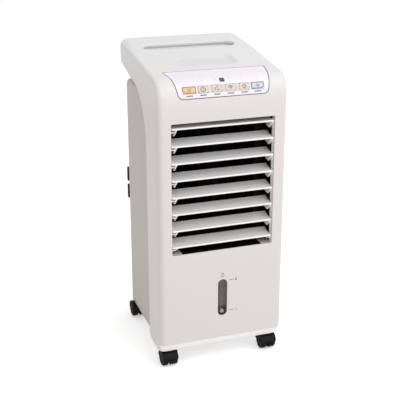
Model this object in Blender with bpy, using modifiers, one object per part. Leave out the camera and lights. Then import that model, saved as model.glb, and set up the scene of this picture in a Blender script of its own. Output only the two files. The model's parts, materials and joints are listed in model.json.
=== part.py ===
"""Tower evaporative cooler on four swivel castors, in metres with +Z up.

The front face looks towards -Y. Every piece is drawn on a bench frame whose Y runs back from the
front face, and one empty carries that frame so that the footprint is centred on the world origin.
"""
import bmesh
import bpy
from math import asin, atan2, cos, hypot, pi, radians, sin, sqrt, tan
from mathutils import Matrix, Vector

# Overall sizes
WIDTH = 0.290
DEPTH = 0.310
HEIGHT = 0.700
WALL = 0.0025
FIT = 0.0003
RUN = 0.0003

# Front hood: front panel, side bands and top in one moulding
TOP_SLOPE = radians(8.77)
SHOULDER_RADIUS = 0.042
REAR_EDGE_RADIUS = 0.010
FRONT_CORNER = 0.014
REAR_CORNER = 0.028
BAND_DEPTH = 0.089
BAND_FOOT_RADIUS = 0.012
SWEEP_RUN = 0.111
SWEEP_RISE = 0.127
SWEEP_TOP_DROP = 0.073
VISOR_HEIGHT = 0.045
KICK_RUN = 0.009
KICK_RISE = 0.018
HOOD_SKIRT = 0.0015

# Remote tray and carrying slot in the top
TRAY_HALF = 0.065
TRAY_FRONT = 0.095
TRAY_LENGTH = 0.055
TRAY_DEEP = 0.0055
SLOT_MARGIN = 0.037
SLOT_FROM_REAR = 0.064
SLOT_LENGTH = 0.037
POCKET_WALL = 0.002
POCKET_DEEP = 0.040

# Rear housing and base
HOUSING_INSET = 0.012
HOUSING_SETBACK = 0.015
HOUSING_TOP_DROP = 0.090
HOUSING_TOP_RADIUS = 0.022
HOUSING_CORNER = 0.010
HOUSING_LAP = 0.027
DECK_THICK = 0.004
DECK_FRONT = 0.0125

# Castors
WHEEL_RADIUS = 0.0185
WHEEL_WIDTH = 0.0135
WHEEL_EDGE = 0.0015
WEB_THICK = 0.007
WEB_GAP = 0.0008
WEB_RELIEF = 0.0005
WEB_CLEAR = 0.003
FENDER_GAP = 0.0007
FENDER_WALL = 0.0016
FENDER_DIP = radians(8)
AXLE_RADIUS = 0.003
CASTOR_TRAIL = 0.007
STEM_RADIUS = 0.0032
BOSS_RADIUS = 0.0065
BOSS_DROP = 0.0045
SWIVEL_GAP = 0.0009
CASTOR_SIDE_INSET = 0.025
CASTOR_FRONT = 0.0195
CASTOR_FROM_REAR = 0.034

# Control panel on the shoulder
PANEL_TOP_INSET = 0.030
PANEL_FOOT_INSET = 0.046
PANEL_REACH = 0.066
PANEL_CORNER = 0.007
PANEL_HEAD_CORNER = 0.002
PANEL_FOOT_TURN = radians(20)
OVERLAY_THICK = 0.0012
PANEL_RECESS = 0.0015
PANEL_LEDGE = 0.006
KEY_COUNT = 6
KEY_END_MARGIN = 0.0084
KEY_WIDE_GAP = 0.0002
KEY_NARROW_GAP = 0.0092
KEY_LOW = radians(15.5)
KEY_HIGH = radians(36.5)
KEY_PROUD = 0.0004
KEY_DEEP = 0.0040
KEY_GAP = 0.0004
DISPLAY_HALF = 0.0055
DISPLAY_ANGLE = radians(52)
BOARD_ANGLE = radians(38)
BOARD_REACH = 0.031
BOARD_THICK = 0.0016
BOARD_SIDE_GAP = 0.028
BOARD_BELOW = 0.018
BOARD_ABOVE = 0.020
POST_RADIUS = 0.0025
POST_INSET = 0.005
POST_OFFSET = 0.014

# Air outlet: horizontal blades in a frame, upright vanes in the duct behind
OPENING_MARGIN = 0.029
OPENING_DROP = 0.050
LOUVER_COUNT = 8
LOUVER_PITCH = 0.0376
FIRST_LIP_DROP = 0.013
LAST_LIP_RISE = 0.0158
BLADE_CHORD = 0.038
BLADE_RISE = 0.007
BLADE_THICK = 0.0022
BLADE_LIP = 0.0036
BLADE_FRONT = 0.0012
BLADE_END_GAP = 0.0015
EAR_THICK = 0.0028
EAR_DROP = 0.012
EAR_BACK = 0.022
EAR_CORNER = 0.002
PIVOT_Y = 0.010
PIVOT_DROP = 0.0062
PIVOT_RADIUS = 0.002
FRAME_WALL = 0.0035
FRAME_HEADROOM = 0.013
FRAME_DEPTH = 0.0555
APERTURE_INSET = 0.024
CRANK_Y = 0.048
CRANK_DROP = 0.0012
CRANK_THICK = 0.0025
CRANK_HALF = 0.0022
CRANK_PIN = 0.0015
LINK_THICK = 0.003
LINK_HALF = 0.0035
DUCT_MARGIN = 0.003
DUCT_WALL = 0.003
DUCT_END = 0.100
VANE_COUNT = 5
VANE_SIDE_GAP = 0.023
VANE_THICK = 0.0016
VANE_Y = 0.076
VANE_FORE = 0.0145
VANE_AFT = 0.0195
VANE_FOOT = 0.008
VANE_HEAD = 0.0035
VANE_PIN = 0.0018
VANE_CRANK = 0.0155
VANE_LINK_LIFT = 0.0015
SWING_MOTOR_RADIUS = 0.012
SWING_MOTOR_HEIGHT = 0.016
SWING_SHAFT = 0.0055

# Cross-flow fan
ROTOR_RADIUS = 0.046
ROTOR_GAP = 0.058
ROTOR_END_GAP = 0.004
ROTOR_DISC = 0.003
ROTOR_BLADES = 18
ROTOR_BLADE_CHORD = 0.013
ROTOR_BLADE_THICK = 0.0014
ROTOR_BLADE_LEAN = radians(32)
SHAFT_RADIUS = 0.003
SHAFT_PASS = 0.005
FAN_DECK = 0.003
MOTOR_RADIUS = 0.030
MOTOR_HEIGHT = 0.034
MOTOR_GRIP = 0.026
BEARING_RADIUS = 0.011
BEARING_HEIGHT = 0.008
SCROLL_WALL = 0.0025
SCROLL_START = radians(100)
SCROLL_GAP = 0.008
TONGUE_GAP = 0.007
TONGUE_ANGLE = radians(24)
FAN_DECK_TAIL = 0.0565

# Water circuit
TANK_HEADROOM = 0.044
TANK_WALL = 0.0022
TANK_SIDE_GAP = 0.0115
TANK_FRONT = 0.0125
TANK_PORT_GAP = 0.001
PULL_HALF = 0.045
PULL_REACH = 0.011
PULL_THICK = 0.007
LATCH_STRIP = 0.0225
LATCH_RADIUS = 0.005
LATCH_REACH = 0.012
LATCH_LIFT = 0.0080
LATCH_THICK = 0.0035
LATCH_PIN = 0.0025
LATCH_PIN_LENGTH = 0.005
WINDOW_HALF = 0.0105
WINDOW_HEIGHT = 0.088
WINDOW_LIFT = 0.0665
GUIDE_GAP = 0.0056
GUIDE_WALL = 0.0015
FLOAT_RADIUS = 0.0048
FLOAT_LIFT = 0.009
PAD_FRAME_DEPTH = 0.0417
PAD_FRAME_RIM = 0.016
PAD_FRAME_SILL = 0.010
PAD_TOP_GAP = 0.0245
PAD_FACE_GAP = 0.0037
INTAKE_MARGIN = 0.021
INTAKE_SILL = 0.007
GRILLE_THICK = 0.004
GRILLE_LAP = 0.003
GRILLE_SLOTS = 13
GRILLE_BAR = 0.008
GRILLE_RIM = 0.012
GRIP_THICK = 0.0052
GRIP_BUMP = 0.0045
GRIP_REACH = 0.0087
GRIP_LIFT = 0.070
GRIP_HEIGHT = 0.079
GRIP_SPLIT = 0.008
SPREADER_HEIGHT = 0.0137
SPREADER_WALL = 0.002
DRIP_COUNT = 9
DRIP_RADIUS = 0.002
PUMP_SIDE_GAP = 0.024
PUMP_HALF = 0.017
PUMP_FRONT = 0.063
PUMP_LENGTH = 0.040
PUMP_HEIGHT = 0.0435
PUMP_LIFT = 0.0035
BRACKET_HALF = 0.006
BRACKET_THICK = 0.003
HOSE_RADIUS = 0.0035
HOSE_INLET = 0.00245
HOSE_BEND = 0.006
GLAND_SIDE_GAP = 0.033
GLAND_FLANGE = 0.008
GLAND_BARREL = 0.005
GLAND_BORE = 0.0035
GLAND_REACH = 0.006

# Facets on rounds, and the angle above which an edge stays sharp
FINE_PIN_SIDES = 10
PIN_SIDES = 12
BAR_SIDES = 16
DRUM_SIDES = 20
WHEEL_SIDES = 28
DISC_SIDES = 36
END_STEPS = 8
CROWN_STEPS = 14
WEB_STEPS = 17
SWEEP_STEPS = 12
SCROLL_STEPS = 14
BLADE_STEPS = 6
KEY_STEPS = 4
CORNER_STEPS = 5
SHOULDER_STEPS = 10
EDGE_ANGLE = radians(30)
TYRE_ANGLE = radians(60)

# Levels and stations worked out from the sizes above
FENDER_RADIUS = WHEEL_RADIUS + FENDER_GAP + FENDER_WALL
BOSS_FOOT = WHEEL_RADIUS + FENDER_RADIUS + SWIVEL_GAP
BODY_FOOT = BOSS_FOOT + BOSS_DROP
HOOD_FOOT = BODY_FOOT - HOOD_SKIRT
DECK_TOP = BODY_FOOT + DECK_THICK
REAR_TURN = pi / 2 + TOP_SLOPE
REAR_CORNER_Z = (
    HEIGHT
    + REAR_EDGE_RADIUS * tan(REAR_TURN / 2) * sin(TOP_SLOPE)
    - REAR_EDGE_RADIUS * (1 - cos(TOP_SLOPE))
)
FRONT_CORNER_Z = REAR_CORNER_Z - DEPTH * tan(TOP_SLOPE)
SHOULDER_TURN = pi / 2 - TOP_SLOPE
SHOULDER_TANGENT = SHOULDER_RADIUS * tan(SHOULDER_TURN / 2)
SHOULDER_Z = FRONT_CORNER_Z - SHOULDER_TANGENT
SHOULDER_CENTRE = Vector((SHOULDER_RADIUS, SHOULDER_Z))
HOUSING_HALF = WIDTH / 2 - HOUSING_INSET
HOUSING_BACK = DEPTH - HOUSING_SETBACK
HOUSING_TOP = HEIGHT - HOUSING_TOP_DROP
HOUSING_FRONT = BAND_DEPTH - HOUSING_LAP
OPENING_HALF = WIDTH / 2 - OPENING_MARGIN
OPENING_TOP = SHOULDER_Z - OPENING_DROP
FIRST_LIP = OPENING_TOP - FIRST_LIP_DROP
OPENING_FOOT = FIRST_LIP - (LOUVER_COUNT - 1) * LOUVER_PITCH - LAST_LIP_RISE
BAY_TOP = OPENING_TOP + FRAME_HEADROOM
BLADE_HALF = OPENING_HALF - BLADE_END_GAP
DUCT_HALF = OPENING_HALF - APERTURE_INSET + DUCT_MARGIN
DUCT_FOOT = OPENING_FOOT + APERTURE_INSET - DUCT_MARGIN
DUCT_TOP = OPENING_TOP - APERTURE_INSET + DUCT_MARGIN
ROTOR_Y = DUCT_END + ROTOR_GAP
FAN_FOOT = DUCT_FOOT - FAN_DECK
FAN_TOP = DUCT_TOP + FAN_DECK
MOTOR_TOP = FAN_FOOT - FIT
TANK_TOP = MOTOR_TOP - MOTOR_HEIGHT - TANK_HEADROOM
TANK_FOOT = DECK_TOP + FIT
TANK_HALF = HOUSING_HALF - WALL - TANK_SIDE_GAP
LATCH_Z = TANK_TOP + LATCH_LIFT
GLAND_Z = TANK_TOP + (LATCH_STRIP + GRILLE_LAP) / 2
PAD_FOOT = TANK_TOP + LATCH_STRIP
PAD_TOP = HOUSING_TOP - WALL - PAD_TOP_GAP
PAD_BACK = HOUSING_BACK - WALL - FIT
PAD_FRONT = PAD_BACK - PAD_FRAME_DEPTH
PAD_HALF = HOUSING_HALF - WALL - FIT
WINDOW_FOOT = TANK_FOOT + WINDOW_LIFT
PANEL_FOOT_HALF = WIDTH / 2 - PANEL_FOOT_INSET
PANEL_HEAD_HALF = WIDTH / 2 - PANEL_TOP_INSET
KEY_SPACING = 2 * (PANEL_FOOT_HALF - KEY_END_MARGIN) / KEY_COUNT
KEY_MIDDLE = (KEY_LOW + KEY_HIGH) / 2
BOARD_HALF = WIDTH / 2 - BOARD_SIDE_GAP
POST_X = BOARD_HALF - POST_INSET
SLOT_HALF = WIDTH / 2 - SLOT_MARGIN
SLOT_FRONT = DEPTH - SLOT_FROM_REAR - SLOT_LENGTH
VANE_SPACING = 2 * (DUCT_HALF - VANE_SIDE_GAP) / (VANE_COUNT - 1)
PUMP_X = TANK_HALF - PUMP_SIDE_GAP
GLAND_X = HOUSING_HALF - GLAND_SIDE_GAP

# Finishes: colour, roughness, metallic
FINISHES = {
    "white_shell": ((0.82, 0.81, 0.80, 1.0), 0.38, 0.0),
    "white_inner": ((0.74, 0.74, 0.74, 1.0), 0.45, 0.0),
    "black_duct": ((0.012, 0.012, 0.013, 1.0), 0.55, 0.0),
    "castor_black": ((0.016, 0.016, 0.016, 1.0), 0.40, 0.0),
    "panel_film": ((0.86, 0.82, 0.90, 1.0), 0.25, 0.0),
    "board_green": ((0.03, 0.16, 0.07, 1.0), 0.50, 0.0),
    "display_black": ((0.010, 0.010, 0.012, 1.0), 0.15, 0.0),
    "key_orange": ((0.88, 0.52, 0.20, 1.0), 0.35, 0.0),
    "key_beige": ((0.72, 0.62, 0.50, 1.0), 0.35, 0.0),
    "key_blue": ((0.42, 0.60, 0.74, 1.0), 0.35, 0.0),
    "smoked_clear": ((0.20, 0.17, 0.15, 1.0), 0.10, 0.0),
    "float_white": ((0.85, 0.85, 0.85, 1.0), 0.40, 0.0),
    "motor_steel": ((0.55, 0.55, 0.56, 1.0), 0.35, 0.9),
    "pad_brown": ((0.36, 0.25, 0.14, 1.0), 0.90, 0.0),
    "tank_grey": ((0.62, 0.64, 0.66, 1.0), 0.30, 0.0),
    "hose_clear": ((0.70, 0.72, 0.72, 1.0), 0.25, 0.0),
    "grip_dark": ((0.05, 0.05, 0.055, 1.0), 0.55, 0.0),
}

for thing in list(bpy.data.objects):
    bpy.data.objects.remove(thing)

PARTS = bpy.data.collections.new("evaporative_cooler")
CUTTERS = bpy.data.collections.new("cutters")
for group in (PARTS, CUTTERS):
    bpy.context.scene.collection.children.link(group)

BENCH = bpy.data.objects.new("bench_frame", None)
BENCH.location = (0.0, -DEPTH / 2, 0.0)
PARTS.objects.link(BENCH)


def make_finish(name):
    """One Principled material for a finish."""
    colour, roughness, metallic = FINISHES[name]
    made = bpy.data.materials.new(name)
    made.use_nodes = True
    shader = made.node_tree.nodes["Principled BSDF"]
    shader.inputs["Base Color"].default_value = colour
    shader.inputs["Roughness"].default_value = roughness
    shader.inputs["Metallic"].default_value = metallic
    return made


MATERIALS = {name: make_finish(name) for name in FINISHES}


def place(name, mesh, home):
    """An object on the bench frame, in the parts or the cutters."""
    thing = bpy.data.objects.new(name, mesh)
    home.objects.link(thing)
    thing.parent = BENCH
    if home is CUTTERS:
        thing.hide_render = True
        thing.display_type = "WIRE"
    return thing


def from_bmesh(name, shape, home):
    mesh = bpy.data.meshes.new(name)
    bmesh.ops.recalc_face_normals(shape, faces=shape.faces)
    shape.to_mesh(mesh)
    shape.free()
    return place(name, mesh, home)


def blocks(name, corners, home=CUTTERS):
    """Boxes between pairs of corners, as one object."""
    shape = bmesh.new()
    for low, high in corners:
        low = Vector(low)
        high = Vector(high)
        made = bmesh.ops.create_cube(shape, size=1.0)["verts"]
        bmesh.ops.scale(shape, vec=high - low, verts=made)
        bmesh.ops.translate(shape, vec=(low + high) / 2, verts=made)
    return from_bmesh(name, shape, home)


def block(name, low, high, home=CUTTERS):
    """A box between two corners."""
    return blocks(name, [(low, high)], home)


def rods(name, runs, radius, sides=BAR_SIDES, home=CUTTERS):
    """Round bars of one radius between pairs of points, as one object."""
    shape = bmesh.new()
    for start, end in runs:
        start = Vector(start)
        run = Vector(end) - start
        turn = run.to_track_quat("Z", "Y").to_matrix().to_4x4()
        bmesh.ops.create_cone(
            shape,
            cap_ends=True,
            segments=sides,
            radius1=radius,
            radius2=radius,
            depth=run.length,
            matrix=Matrix.Translation(start + run / 2) @ turn,
        )
    return from_bmesh(name, shape, home)


def rod(name, start, end, radius, sides=BAR_SIDES, home=CUTTERS):
    """A round bar from one point to another."""
    return rods(name, [(start, end)], radius, sides, home)


# Frames for flat outlines: columns are the outline's two directions and its thickness direction
ALONG_X = Matrix(((0, 0, 1, 0), (1, 0, 0, 0), (0, 1, 0, 0), (0, 0, 0, 1)))
ALONG_Y = Matrix(((1, 0, 0, 0), (0, 0, -1, 0), (0, 1, 0, 0), (0, 0, 0, 1)))
ALONG_Z = Matrix.Identity(4)


def slab(name, outline, frame, low, high, home=CUTTERS):
    """A flat outline with thickness, from low to high along the frame's third direction."""
    curve = bpy.data.curves.new(name, "CURVE")
    curve.dimensions = "2D"
    curve.fill_mode = "BOTH"
    curve.extrude = (high - low) / 2
    spline = curve.splines.new("POLY")
    spline.points.add(len(outline) - 1)
    for point, (u, v) in zip(spline.points, outline):
        point.co = (u, v, 0.0, 1.0)
    spline.use_cyclic_u = True
    drawn = bpy.data.objects.new(name + "_outline", curve)
    bpy.context.scene.collection.objects.link(drawn)
    graph = bpy.context.evaluated_depsgraph_get()
    mesh = bpy.data.meshes.new_from_object(drawn.evaluated_get(graph))
    bpy.data.objects.remove(drawn)
    shape = bmesh.new()
    shape.from_mesh(mesh)
    bpy.data.meshes.remove(mesh)
    bmesh.ops.remove_doubles(shape, verts=shape.verts, dist=1e-6)
    move = frame @ Matrix.Translation((0, 0, (low + high) / 2))
    bmesh.ops.transform(shape, matrix=move, verts=shape.verts)
    return from_bmesh(name, shape, home)


def combine(thing, operation, *tools):
    """Exact Booleans of a piece with each tool in turn."""
    for tool in tools:
        step = thing.modifiers.new(tool.name, "BOOLEAN")
        step.operation = operation
        step.solver = "EXACT"
        step.object = tool
    return thing


def cut(thing, *tools):
    return combine(thing, "DIFFERENCE", *tools)


def join(thing, *tools):
    return combine(thing, "UNION", *tools)


def keep(thing, *tools):
    return combine(thing, "INTERSECT", *tools)


def finish(thing, finish_name, pivot=None):
    """Smooth shading, the piece's material and, on a moving piece, its origin on the joint axis."""
    thing.data.shade_smooth()
    thing.data.set_sharp_from_angle(angle=EDGE_ANGLE)
    thing.data.materials.clear()
    thing.data.materials.append(MATERIALS[finish_name])
    if pivot is not None:
        thing.data.transform(Matrix.Translation(-Vector(pivot)))
        thing.location = pivot
    return thing


def arc(centre, radius, start, end, steps):
    """Points on an arc, angles from the outline's first direction."""
    cu, cv = centre
    points = []
    for index in range(steps + 1):
        angle = start + (end - start) * index / steps
        points.append((cu + radius * cos(angle), cv + radius * sin(angle)))
    return points


def rounded(corners, radii, steps=CORNER_STEPS):
    """A polygon whose corners are turned to arcs tangent to both sides."""
    points = []
    count = len(corners)
    for index, radius in enumerate(radii):
        here = Vector(corners[index])
        back = (Vector(corners[index - 1]) - here).normalized()
        ahead = (Vector(corners[(index + 1) % count]) - here).normalized()
        if radius <= 0:
            points.append(tuple(here))
            continue
        half = back.angle(ahead) / 2
        centre = here + (back + ahead).normalized() * radius / sin(half)
        first = here + back * radius / tan(half) - centre
        last = here + ahead * radius / tan(half) - centre
        begin = atan2(first.y, first.x)
        sweep = (atan2(last.y, last.x) - begin + pi) % (2 * pi) - pi
        points += arc(centre, radius, begin, begin + sweep, steps)
    return points


def rectangle(low, high, radii, steps=CORNER_STEPS):
    """A rectangle, with corner radii in the order low left, low right, high right, high left."""
    corners = [low, (high[0], low[1]), high, (low[0], high[1])]
    return rounded(corners, radii, steps)


def stadium(centre, half, height, steps=END_STEPS):
    """An upright slot with round ends."""
    low = height / 2 - half
    upper = arc((centre[0], centre[1] + low), half, 0, pi, steps)
    lower = arc((centre[0], centre[1] - low), half, pi, 2 * pi, steps)
    return upper + lower


def top_z(depth):
    """Height of the hood's sloping top at a depth behind the front face."""
    return REAR_CORNER_Z - (DEPTH - depth) * tan(TOP_SLOPE)


def shoulder_point(angle, radius):
    """A point of the shoulder's round: angle up from the front, radius from its axis."""
    return SHOULDER_CENTRE + radius * Vector((-cos(angle), sin(angle)))


def shoulder_path(inset, low=0.0, reach=None):
    """The hood's front shoulder in side view, moved in by an inset, and the top up to a depth."""
    points = []
    for index in range(SHOULDER_STEPS + 1):
        angle = low + (SHOULDER_TURN - low) * index / SHOULDER_STEPS
        points.append(tuple(shoulder_point(angle, SHOULDER_RADIUS - inset)))
    if reach is not None:
        points.append((reach + inset * sin(TOP_SLOPE), top_z(reach) - inset * cos(TOP_SLOPE)))
    return points


def hood_outline(inset, foot):
    """Side view of the hood, moved in by an inset on every side but the foot."""
    lean = inset * (hypot(KICK_RUN, KICK_RISE) - KICK_RUN) / KICK_RISE
    points = [(KICK_RUN + inset, foot), (inset, HOOD_FOOT + KICK_RISE + lean)]
    points += shoulder_path(inset)
    rear = (DEPTH - inset, top_z(DEPTH - inset) - inset / cos(TOP_SLOPE))
    visor = (DEPTH - inset, HEIGHT - VISOR_HEIGHT + inset)
    corner = [points[-1], rear, visor]
    points += rounded(corner, (0, REAR_EDGE_RADIUS - inset, 0))[1:]
    sweep_y = BAND_DEPTH + SWEEP_RUN
    sweep_z = HEIGHT - SWEEP_TOP_DROP - SWEEP_RISE
    for index in range(SWEEP_STEPS + 1):
        angle = pi / 2 * (1 + index / SWEEP_STEPS)
        across = (SWEEP_RUN + inset) * cos(angle)
        rise = (SWEEP_RISE + inset) * sin(angle)
        points.append((sweep_y + across, sweep_z + rise))
    heel = (BAND_DEPTH - inset, foot)
    radius = BAND_FOOT_RADIUS if inset == 0 else 0
    return points + rounded([points[-1], heel, points[0]], (0, radius, 0))[1:-1]


def plan_outline(inset):
    """Plan of the hood: small front corners, generous rear ones."""
    half = WIDTH / 2 - inset
    front = FRONT_CORNER - inset
    rear = REAR_CORNER - inset
    return rectangle((-half, inset), (half, DEPTH - inset), (front, front, rear, rear))


def housing_outline(grow, foot):
    """Front view of the rear housing, grown by an amount above its foot."""
    half = HOUSING_HALF + grow
    top = HOUSING_TOP_RADIUS + grow
    return rectangle((-half, foot), (half, HOUSING_TOP + grow), (0, 0, top, top))


def panel_prism(name, grow):
    """The control panel's outline, square to its chord, grown all round by an amount."""
    foot = Vector((0.0, SHOULDER_Z))
    head = Vector((PANEL_REACH, top_z(PANEL_REACH)))
    chord = head - foot
    v = chord.normalized()
    frame = Matrix(
        (
            (1, 0, 0, 0),
            (0, v.x, -v.y, foot.x),
            (0, v.y, v.x, foot.y),
            (0, 0, 0, 1),
        )
    )
    low = PANEL_FOOT_HALF + grow
    high = PANEL_HEAD_HALF + grow
    top = chord.length + grow
    corners = [(-low, -grow), (low, -grow), (high, top), (-high, top)]
    radii = (PANEL_CORNER, PANEL_CORNER, PANEL_HEAD_CORNER, PANEL_HEAD_CORNER)
    outline = rounded(corners, radii)
    return slab(name, outline, frame, -SHOULDER_RADIUS, SHOULDER_RADIUS)


def panel_band(name, outer, inner, home=CUTTERS):
    """A strip of the shoulder across the full width, between two insets from its surface."""
    reach = PANEL_REACH + PANEL_LEDGE
    inside = shoulder_path(inner, -PANEL_FOOT_TURN, reach)
    outline = shoulder_path(outer, -PANEL_FOOT_TURN, reach) + inside[::-1]
    return slab(name, outline, ALONG_X, -WIDTH / 2, WIDTH / 2, home)


def key_band(name, x, half, outer, inner, gap, home=CUTTERS):
    """A key's side view, an arc of the shoulder between two radii."""
    slack = gap / SHOULDER_RADIUS
    low = KEY_LOW - slack
    high = KEY_HIGH + slack
    outline = []
    for radius, ends in ((outer, (low, high)), (inner, (high, low))):
        for index in range(KEY_STEPS + 1):
            angle = ends[0] + (ends[1] - ends[0]) * index / KEY_STEPS
            outline.append(tuple(shoulder_point(angle, radius)))
    return slab(name, outline, ALONG_X, x - half - gap, x + half + gap, home)


def key_places():
    """Centre and half width of each key, left to right."""
    places = []
    for index in range(KEY_COUNT):
        x = (index - (KEY_COUNT - 1) / 2) * KEY_SPACING
        gap = KEY_WIDE_GAP if index in (0, KEY_COUNT - 1) else KEY_NARROW_GAP
        places.append((x, (KEY_SPACING - gap) / 2))
    return places


def castor_places():
    """Name, stem X, stem Y of each castor."""
    x = WIDTH / 2 - CASTOR_SIDE_INSET
    rear = DEPTH - CASTOR_FROM_REAR
    return [
        ("front_left", -x, CASTOR_FRONT),
        ("front_right", x, CASTOR_FRONT),
        ("rear_left", -x, rear),
        ("rear_right", x, rear),
    ]


def build_front_hood():
    """Shell of the front, side bands and top, open below and where the rear housing enters."""
    half = WIDTH / 2
    hood = slab("front_hood", hood_outline(0, HOOD_FOOT), ALONG_X, -half, half, PARTS)
    keep(hood, slab("hood_plan", plan_outline(0), ALONG_Z, 0, HEIGHT + WALL))
    inner = slab("hood_hollow", hood_outline(WALL, 0), ALONG_X, WALL - half, half - WALL)
    keep(inner, slab("hood_hollow_plan", plan_outline(WALL), ALONG_Z, -WALL, HEIGHT))
    cut(hood, inner)
    cut(hood, slab("housing_entry", housing_outline(FIT, 0), ALONG_Y, -DEPTH, -HOUSING_FRONT))
    low = (-OPENING_HALF, -WALL, OPENING_FOOT)
    high = (OPENING_HALF, WALL * 2, OPENING_TOP)
    cut(hood, block("outlet_cut", low, high))
    centre = (0, WINDOW_FOOT + WINDOW_HEIGHT / 2)
    window = stadium(centre, WINDOW_HALF + FIT, WINDOW_HEIGHT + 2 * FIT)
    cut(hood, slab("window_cut", window, ALONG_Y, -WALL * 2, WALL))
    recess = panel_band("panel_recess", -WALL, PANEL_RECESS)
    keep(recess, panel_prism("panel_recess_edge", FIT))
    through = panel_band("panel_through", -WALL, WALL * 2)
    keep(through, panel_prism("panel_through_edge", -PANEL_LEDGE))
    cut(hood, recess, through)
    slot = stadium((0, 0), SLOT_LENGTH / 2, 2 * SLOT_HALF)
    turned = [(v, SLOT_FRONT + SLOT_LENGTH / 2 + u) for u, v in slot]
    slot_low = HEIGHT - VISOR_HEIGHT + WALL * 2
    cut(hood, slab("handle_slot", turned, ALONG_Z, slot_low, HEIGHT + WALL))
    join(hood, tray_block("tray_pad", WALL, TRAY_DEEP + WALL, -WALL / 2))
    cut(hood, tray_block("tray_recess", 0, TRAY_DEEP, WALL))
    return finish(hood, "white_shell")


def tray_block(name, grow, deep, proud):
    """The remote tray, square to the sloping top, from a height proud of it to a depth below."""
    low = TRAY_FRONT - grow
    high = TRAY_FRONT + TRAY_LENGTH + grow
    outline = [
        (low, top_z(low) - deep),
        (high, top_z(high) - deep),
        (high, top_z(high) + proud),
        (low, top_z(low) + proud),
    ]
    return slab(name, outline, ALONG_X, -TRAY_HALF - grow, TRAY_HALF + grow)


def build_handle_pocket():
    """Closed cup under the carrying slot, with its rim against the hood's underside."""
    low = SLOT_FRONT - POCKET_WALL
    high = SLOT_FRONT + SLOT_LENGTH + POCKET_WALL
    lid = WALL / cos(TOP_SLOPE) + FIT
    floor = top_z(low) - POCKET_DEEP
    outline = [(low, floor), (high, floor), (high, top_z(high) - lid), (low, top_z(low) - lid)]
    half = SLOT_HALF + POCKET_WALL
    cup = slab("handle_pocket", outline, ALONG_X, -half, half, PARTS)
    hollow = block(
        "pocket_hollow",
        (-SLOT_HALF, SLOT_FRONT, floor + POCKET_WALL),
        (SLOT_HALF, SLOT_FRONT + SLOT_LENGTH, HEIGHT + WALL),
    )
    return finish(cut(cup, hollow), "white_inner")


def build_rear_housing():
    """Shell behind the hood, open in front and below, with the intake and tank ports in its back."""
    outline = housing_outline(0, BODY_FOOT)
    shell = slab("rear_housing", outline, ALONG_Y, -HOUSING_BACK, -HOUSING_FRONT, PARTS)
    half = HOUSING_HALF
    corner = HOUSING_CORNER
    plan = rectangle((-half, 0), (half, HOUSING_BACK), (0, 0, corner, corner))
    keep(shell, slab("housing_plan", plan, ALONG_Z, 0, HEIGHT))
    hollow = slab("housing_hollow", housing_outline(-WALL, 0), ALONG_Y, WALL - HOUSING_BACK, 0)
    inner = corner - WALL
    inner_plan = rectangle(
        (WALL - half, -WALL), (half - WALL, HOUSING_BACK - WALL), (0, 0, inner, inner)
    )
    keep(hollow, slab("housing_hollow_plan", inner_plan, ALONG_Z, -WALL, HEIGHT))
    cut(shell, hollow)
    out = HOUSING_BACK + WALL
    back = HOUSING_BACK - 2 * WALL
    intake = PAD_HALF - INTAKE_MARGIN + WALL
    low = (-intake, back, PAD_FOOT + INTAKE_SILL)
    high = (intake, out, PAD_TOP - INTAKE_SILL)
    cut(shell, block("intake_port", low, high))
    half = TANK_HALF + TANK_PORT_GAP
    cut(shell, block("tank_port", (-half, back, 0), (half, out, TANK_TOP + TANK_PORT_GAP)))
    cut(shell, rod("latch_hole", (0, back, LATCH_Z), (0, out, LATCH_Z), LATCH_PIN + RUN))
    start = (GLAND_X, back, GLAND_Z)
    end = (GLAND_X, out, GLAND_Z)
    cut(shell, rod("gland_hole", start, end, GLAND_BARREL + RUN))
    return finish(shell, "white_shell")


def build_base_deck():
    """Floor plate that closes hood and housing, with a socket boss for each castor."""
    wide = WIDTH / 2 - WALL - FIT
    narrow = HOUSING_HALF - WALL - FIT
    step = HOUSING_FRONT - FIT
    back = HOUSING_BACK - WALL - FIT
    corner = FRONT_CORNER - WALL
    inner = HOUSING_CORNER - WALL
    corners = [
        (-wide, DECK_FRONT), (wide, DECK_FRONT), (wide, step), (narrow, step),
        (narrow, back), (-narrow, back), (-narrow, step), (-wide, step),
    ]
    outline = rounded(corners, (corner, corner, 0, 0, inner, inner, 0, 0))
    deck = slab("base_deck", outline, ALONG_Z, BODY_FOOT, DECK_TOP, PARTS)
    middle = BODY_FOOT + DECK_THICK / 2
    bosses = [((x, y, BOSS_FOOT), (x, y, middle)) for _, x, y in castor_places()]
    sockets = [((x, y, 0), (x, y, HEIGHT / 2)) for _, x, y in castor_places()]
    join(deck, rods("socket_bosses", bosses, BOSS_RADIUS, DRUM_SIDES))
    cut(deck, rods("sockets", sockets, STEM_RADIUS + RUN))
    return finish(deck, "white_shell")


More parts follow.
